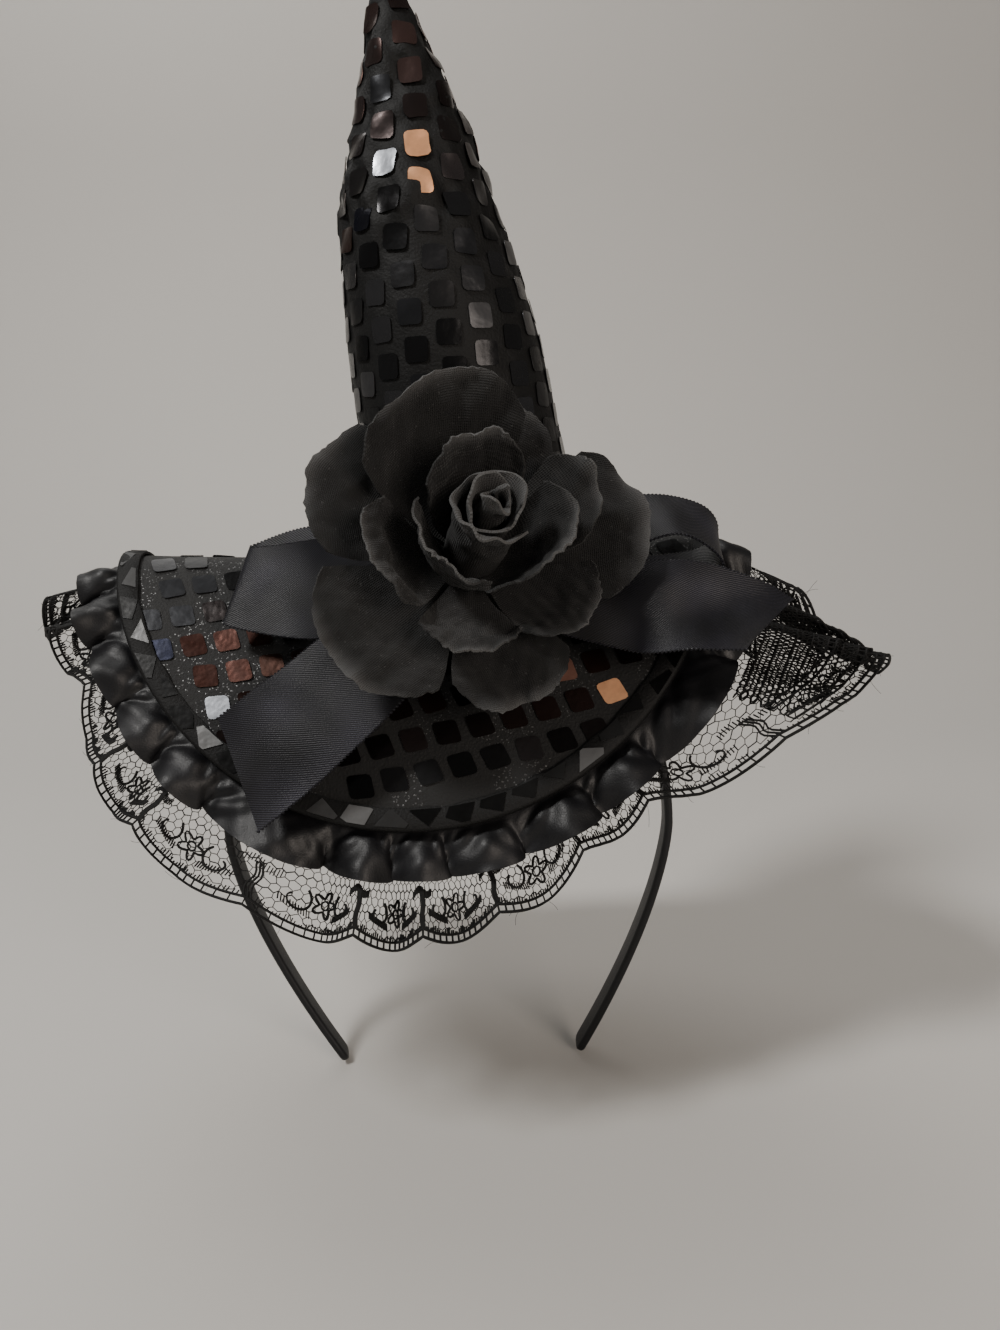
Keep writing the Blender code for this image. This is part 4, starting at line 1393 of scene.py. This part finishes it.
def motif_lines():
    """Flowers, scrolls and stems in thicker thread, one set to a scallop."""
    random = np.random.default_rng(SEEDS["motifs"])
    lines = []
    for fold in range(FOLDS):
        middle = fold + 0.5 + random.uniform(-0.04, 0.04)
        deep = FLOWER_DEPTH + random.uniform(-0.6, 0.6)
        turn = np.linspace(0, 2 * math.pi, 41)
        flower = FLOWER_RADIUS + FLOWER_LOBE * np.cos(5 * turn)
        for around, radius, thread in ((turn, flower, MOTIF_THREAD),
                                       (turn[::4], FLOWER_EYE, STEM_THREAD)):
            phase = middle + radius * np.cos(around) / MOTIF_WIDTH
            lines.append((lace_line(phase, deep + radius * np.sin(around)), thread))
        for hand in (-1, 1):
            curl = np.linspace(0, 1.5 * math.pi, 22)
            size = SCROLL_RADIUS - SCROLL_TIGHTENING * curl
            swirl = SCROLL_PLACE + size * np.cos(curl + SCROLL_START)
            swirl_deep = SCROLL_DEPTH + size * np.sin(curl + SCROLL_START)
            scroll = lace_line(middle + hand * swirl / MOTIF_WIDTH, swirl_deep)
            lines.append((scroll, MOTIF_THREAD))
            for n in range(12):
                spot = middle + hand * (3.2 + 0.55 * n) / MOTIF_WIDTH
                low = 4.6 + 0.10 * n
                hatch = lace_line((spot, spot + hand * 0.01), (low, low + 1.7))
                lines.append((hatch, FILLING_THREAD))
        for shift in (-0.02, 0.0, 0.02):
            run = np.linspace(BORDER_INNER, 11.0, 9)
            lines.append((lace_line(fold + shift + 0.012 * np.sin(run), run), STEM_THREAD))
        for n in range(14):
            spot = fold + (n - 7) * 0.021
            high = 10.2 + 0.8 * math.sin(n * 0.5)
            lines.append((lace_line((spot, spot + 0.004), (high, high + 1.8)), FILLING_THREAD))
    return lines


def folded_lines(cell, thread):
    """The lace doubled back over itself at the right tip, dense enough to look black."""
    first, last = fold_phase(np.array((FOLD_START, FOLD_END)))
    lines = []
    for layer, reach_share in enumerate(FOLD_REACHES):
        lift = FOLD_LIFT * (layer + 1)
        lines += net_lines(cell * FOLD_CELL_SHARE, thread * FOLD_THREAD_SHARE, first, last,
                           FOLD_INNER, reach_share, lift)
        lines += border_lines(first, last, reach_share, lift)
    return lines


def fuzz_lines():
    """Stray hairs along the lace's edge."""
    random = np.random.default_rng(SEEDS["hairs"])
    lines = []
    for _ in range(HAIRS):
        phase = random.uniform(0, FOLDS)
        root = lace_line(np.array((phase,)), np.array((0.0,)))[0]
        way = unit(random.normal(size=3))
        bend = unit(random.normal(size=3))
        run = np.linspace(0, 1, 6)[:, None]
        length = random.uniform(1.5, 4.5)
        lines.append((root + way * run * length + bend * run ** 2 * length * 0.5, HAIR_THREAD))
    return lines


def make_lace(settings):
    """The net, its corded border, its motifs and its stray hairs."""
    cell = settings.net_cell / MM
    thread = settings.net_thread / MM / 2
    net = threads("lace_net", net_lines(cell, thread), "lace")
    join(net, threads("lace_work", border_lines() + motif_lines(), "lace", 4))
    folded = threads("lace_fold", folded_lines(cell, thread), "lace")
    fuzz = threads("lace_fuzz", fuzz_lines(), "lace")
    fit(net, "lace_trim", slot="lace")
    others = [fit(fuzz, slot="lace"), fit(folded, slot="lace")]


def rose_frame():
    """The rose's right, up and forward directions."""
    forward = np.array((math.sin(ROSE_TURN) * math.cos(ROSE_TILT),
                        -math.cos(ROSE_TURN) * math.cos(ROSE_TILT), math.sin(ROSE_TILT)))
    right = unit(np.cross(WORLD_UP, forward))
    return right, np.cross(forward, right), forward


def rose_points(turn, radius, level):
    right, up, forward = rose_frame()
    across = right * np.cos(turn)[..., None] + up * np.sin(turn)[..., None]
    lean = right * ROSE_LEAN_RIGHT + up * ROSE_LEAN_UP
    return np.array(ROSE_BASE) + across * radius[..., None] + (forward + lean) * level[..., None]


def make_petal(name, azimuth, half_span, reach, rise, level, flare, ruffle):
    """A cupped petal with a curled, wavy and slightly frayed rim."""
    columns, rows = 44, 30
    seed = sum(ord(letter) for letter in name)
    random = np.random.default_rng(seed)
    flare = math.radians(flare)
    side = np.linspace(-1, 1, columns + 1)[None, :]
    up_share = np.linspace(0, 1, rows + 1)[:, None]
    share = up_share * (1 - PETAL_CORNER_CUT * np.abs(side) ** 3)
    lean = flare * share
    radius = PETAL_BASE_RADIUS + (reach - PETAL_BASE_RADIUS) * np.sin(lean) / math.sin(flare)
    height = level + rise * (1 - np.cos(lean)) / (1 - math.cos(flare))
    past = np.maximum(0.0, share - PETAL_CURL_START) / (1 - PETAL_CURL_START)
    curl = PETAL_CURL * past ** 2
    rim = past ** 1.5
    first, second, third = random.uniform(0, 2 * math.pi, 3)
    wave = np.sin(side * 4.2 + first) + 0.6 * np.sin(side * 8.5 + second)
    fold = 0.9 * share ** 2 * np.sin(side * 3.1 + share * 2.0 + third)
    fray = random.normal(0, PETAL_FRAY, columns + 1)[None, :] * (up_share > 0.99)
    spread = PETAL_WAIST + (1 - PETAL_WAIST) * np.sin(math.pi * share)
    turn = math.radians(azimuth) + math.radians(half_span) * side * spread
    grid = rose_points(turn, radius + 0.7 * curl + ruffle * 0.7 * wave * rim + fray,
                       height - curl + ruffle * (1.25 * wave * rim + fold))
    crumple = 0.42 * ripple(grid, 9.0, seed) + 0.22 * ripple(grid, 3.6, seed + 1)
    grid = grid + sheet_normal(grid, False) * (crumple * share)[..., None]
    flat = np.stack([np.radians(half_span) * side * radius, reach * share], -1)
    # The rim value paints the petal's rim lighter: partly frayed fibre, partly painted highlight.
    values = {"rim": np.clip((share - PETAL_RIM_START) / (1 - PETAL_RIM_START), 0, 1) ** 2 + 0 * side}
    piece = face_outwards(cloth("rose_" + name, grid, PETAL_WALL, "rose_cloth", values=values, flat=flat))
    fit(piece, "rose_petal_" + name, slot="rose_cloth")
    area = sheet_area(grid) * MM ** 2
    length = reach * PETAL_LENGTH_SHARE * MM
    area / length * PETAL_WIDTH_SHARE


def make_bud():
    """A strip of petal cloth rolled up round the rose's axis."""
    share = np.linspace(0, 1, 200)[None, :]
    climb = np.linspace(0, 1, 24)[:, None]
    turn = 2 * math.pi * BUD_TURNS * share
    radius = BUD_INNER_RADIUS + (BUD_OUTER_RADIUS - BUD_INNER_RADIUS) * share
    top = BUD_RISE - BUD_OUTER_DROP * share + BUD_RIM_WAVE * np.cos(BUD_WAVES_PER_TURN * turn)
    rim = climb ** 8
    curl = rim * (0.3 + 1.3 * share)
    grid = rose_points(turn + 0 * climb, radius * (1 + BUD_FLARE * climb) + curl,
                       BUD_LEVEL + top * climb - 0.8 * curl)
    crumple = BUD_CRUMPLE * ripple(grid, BUD_CRUMPLE_PITCH, SEEDS["bud"])
    grid = grid + sheet_normal(grid, False) * (crumple * climb)[..., None]
    steps = np.hypot(np.diff(radius[0]), radius[0, 1:] * np.diff(turn[0]))
    length = np.concatenate([[0], np.cumsum(steps)])
    flat = np.stack([length + 0 * climb, top * climb], -1)
    # The rim value paints the bud's top edge lighter, as on the petals: partly frayed fibre, partly
    # painted highlight.
    values = {"rim": rim + 0 * share}
    piece = cloth("rose_bud_roll", grid, BUD_WALL, "rose_cloth", values=values, flat=flat)
    fit(face_outwards(piece), "rose_bud", slot="rose_cloth")
    area = sheet_area(grid) * MM ** 2


def make_ribbon(name, rows):
    """A satin ribbon with a row of slanting stitches along each edge."""
    finer = smooth(rows, 14)
    edges = np.stack([finer[:, 0:3], finer[:, 3:6]])
    across = np.linspace(0, 1, 13)[:, None, None]
    grid = edges[0] + (edges[1] - edges[0]) * across
    from_knot = np.clip((np.abs(grid[..., 0] - ROSE_BASE[0]) - KNOT_REACH) / KNOT_REACH, 0, 1)
    height = TAIL_SWELL if "tail" in name else LOOP_SWELL
    swell = height * ripple(grid, SWELL_PITCH, seed=len(name)) * from_knot
    grid = grid + sheet_normal(grid, False) * swell[..., None]
    run = np.concatenate([[0], np.cumsum(np.linalg.norm(np.diff(grid[6], axis=0), axis=1))])
    wide = np.linalg.norm(edges[1] - edges[0], axis=1)
    flat = np.stack([across[..., 0] * wide, run + 0 * across[..., 0]], -1)
    piece = face_outwards(cloth(name + "_ribbon", grid, RIBBON_WALL, "ribbon", flat=flat))
    fit(piece, name, slot="ribbon")
    lines = [grid[0], grid[-1]]
    points = np.concatenate(lines)
    count = len(lines[0])
    links = [(k, k + 1) for k in range(2 * count - 1) if k != count - 1]
    stitches = mesh_piece(name + "_edge", points, [], None, links)
    grow(stitches, TREES["stitches"], {
        "Pitch": STITCH_PITCH * MM, "Length": STITCH_LENGTH * MM,
        "Thickness": STITCH_THICKNESS * MM, "Slant": STITCH_SLANT, "Finish": finish_of("ribbon")})
    fit(stitches, slot="ribbon")
    area = sheet_area(grid) * MM ** 2


def stage_mesh(name, points, faces, finish):
    mesh = bpy.data.meshes.new(name)
    mesh.from_pydata(points, [], faces)
    mesh.shade_smooth()
    mesh.materials.append(finish)
    piece = bpy.data.objects.new(name, mesh)
    bpy.context.scene.collection.objects.link(piece)
    return piece


def make_stage():
    """A pale floor that curves up into a warm grey backdrop."""
    low = CAD_BOX[0][2] - 0.0005
    width, front, back, bend, top = 2.4, -1.6, 0.75, 0.45, 2.2
    side = [(front, low), (back - bend, low)]
    for k in range(1, 17):
        turn = math.pi / 2 * k / 16
        side.append((back - bend + bend * math.sin(turn), low + bend - bend * math.cos(turn)))
    side.append((back, top))
    points = [(x, y, z) for y, z in side for x in (-width, width)]
    faces = [(2 * k, 2 * k + 1, 2 * k + 3, 2 * k + 2) for k in range(len(side) - 1)]
    stage_mesh("backdrop", points, faces, stage_finish("backdrop", BACKDROP_COLOUR))


def make_light(name, place, size, power, colour):
    """A round lamp that points at the origin."""
    lamp = bpy.data.lights.new(name, "AREA")
    lamp.shape = "DISK"
    lamp.size = size
    lamp.energy = power
    lamp.color = colour
    holder = bpy.data.objects.new(name, lamp)
    holder.location = place
    holder.rotation_euler = (-Vector(place)).to_track_quat("-Z", "Y").to_euler()
    bpy.context.scene.collection.objects.link(holder)


def make_camera():
    """The camera, turned so that it sees the hat as the picture does."""
    right, down, forward = camera_axes()
    turn = Matrix((right, -down, -forward)).transposed()
    data = bpy.data.cameras.new("camera")
    data.sensor_width = SENSOR
    data.lens = SENSOR * FOCAL_PIXELS / PICTURE_HEIGHT
    data.clip_start = 0.01
    camera = bpy.data.objects.new("camera", data)
    camera.matrix_world = Matrix.Translation(Vector(CAMERA_PLACE) * MM) @ turn.to_4x4()
    bpy.context.scene.collection.objects.link(camera)
    bpy.context.scene.camera = camera


def make_world():
    world = bpy.data.worlds.new("soft room")
    world.use_nodes = True
    back = world.node_tree.nodes["Background"]
    back.inputs["Color"].default_value = ROOM_COLOUR
    back.inputs["Strength"].default_value = ROOM_STRENGTH
    bpy.context.scene.world = world


class HatSettings(bpy.types.PropertyGroup):
    """Sizes that a user would change."""

    sequin_size: bpy.props.FloatProperty(
        name="Sequin size", description="Side of one square sequin", default=0.006,
        min=0.003, max=0.009, unit="LENGTH")
    sequin_pitch: bpy.props.FloatProperty(
        name="Sequin pitch", description="Distance between the middles of two sequins", default=0.0085,
        min=0.006, max=0.012, unit="LENGTH")
    net_cell: bpy.props.FloatProperty(
        name="Net cell", description="Width of one six-sided cell of the lace net", default=0.0022,
        min=0.0015, max=0.004, unit="LENGTH")
    net_thread: bpy.props.FloatProperty(
        name="Net thread", description="Thickness of the lace net's thread", default=0.00026,
        min=0.0001, max=0.0006, unit="LENGTH")


class HAT_OT_headband(bpy.types.Operator):
    """Make the satin-covered headband"""

    bl_idname = "hat.headband"
    bl_label = "Headband"

    def execute(self, context):
        make_headband()
        return {"FINISHED"}


class HAT_OT_brim(bpy.types.Operator):
    """Make the brim with its sequins"""

    bl_idname = "hat.brim"
    bl_label = "Brim"

    def execute(self, context):
        make_brim(context.scene.hat_settings)
        return {"FINISHED"}


class HAT_OT_binding(bpy.types.Operator):
    """Make the strip that binds the brim's edge"""

    bl_idname = "hat.binding"
    bl_label = "Brim binding"

    def execute(self, context):
        make_binding()
        return {"FINISHED"}


class HAT_OT_crown(bpy.types.Operator):
    """Make the leaning crown with its sequins"""

    bl_idname = "hat.crown"
    bl_label = "Crown"

    def execute(self, context):
        make_crown(context.scene.hat_settings)
        return {"FINISHED"}


class HAT_OT_satin_frill(bpy.types.Operator):
    """Make the gathered satin frill"""

    bl_idname = "hat.satin_frill"
    bl_label = "Satin frill"

    def execute(self, context):
        make_satin_frill()
        return {"FINISHED"}


class HAT_OT_lace(bpy.types.Operator):
    """Make the lace frill thread by thread"""

    bl_idname = "hat.lace"
    bl_label = "Lace frill"

    def execute(self, context):
        make_lace(context.scene.hat_settings)
        return {"FINISHED"}


class HAT_OT_bow(bpy.types.Operator):
    """Make the bow's two loops and two tails"""

    bl_idname = "hat.bow"
    bl_label = "Ribbon bow"

    def execute(self, context):
        for name, rows in RIBBONS.items():
            make_ribbon(name, rows)
        return {"FINISHED"}


class HAT_OT_rose(bpy.types.Operator):
    """Make the fabric rose, its petals and its bud"""

    bl_idname = "hat.rose"
    bl_label = "Rose"

    def execute(self, context):
        for row in PETALS:
            make_petal(**dict(zip(PETAL_FIELDS, row)))
        make_bud()
        return {"FINISHED"}


class HAT_OT_stage(bpy.types.Operator):
    """Make the floor, the backdrop, the lights and the camera"""

    bl_idname = "hat.stage"
    bl_label = "Stage"

    def execute(self, context):
        make_stage()
        make_world()
        for light in LIGHTS:
            make_light(*light)
        make_camera()
        return {"FINISHED"}


PIECE_OPERATORS = (HAT_OT_headband, HAT_OT_brim, HAT_OT_binding, HAT_OT_crown, HAT_OT_satin_frill,
                   HAT_OT_lace, HAT_OT_bow, HAT_OT_rose, HAT_OT_stage)


class HAT_PT_panel(bpy.types.Panel):
    """Lists the hat's sizes and pieces"""

    bl_idname = "HAT_PT_panel"
    bl_label = "Witch hat headband"
    bl_space_type = "VIEW_3D"
    bl_region_type = "UI"
    bl_category = "Hat"

    def draw(self, context):
        settings = context.scene.hat_settings
        for name in ("sequin_size", "sequin_pitch", "net_cell", "net_thread"):
            self.layout.prop(settings, name)
        for operator in PIECE_OPERATORS:
            self.layout.operator(operator.bl_idname)


CLASSES = (HatSettings,) + PIECE_OPERATORS + (HAT_PT_panel,)
TREES = {}


def register():
    for item in CLASSES:
        bpy.utils.register_class(item)
    bpy.types.Scene.hat_settings = bpy.props.PointerProperty(type=HatSettings)


def unregister():
    del bpy.types.Scene.hat_settings
    for item in reversed(CLASSES):
        bpy.utils.unregister_class(item)


def main():
    register()
    TREES["thread"] = thread_tree()
    TREES["sequins"] = sequin_tree()
    TREES["stitches"] = stitch_tree()
    for operator in PIECE_OPERATORS:
        group, name = operator.bl_idname.split(".")
        getattr(getattr(bpy.ops, group), name)()


if __name__ == "__main__":
    main()
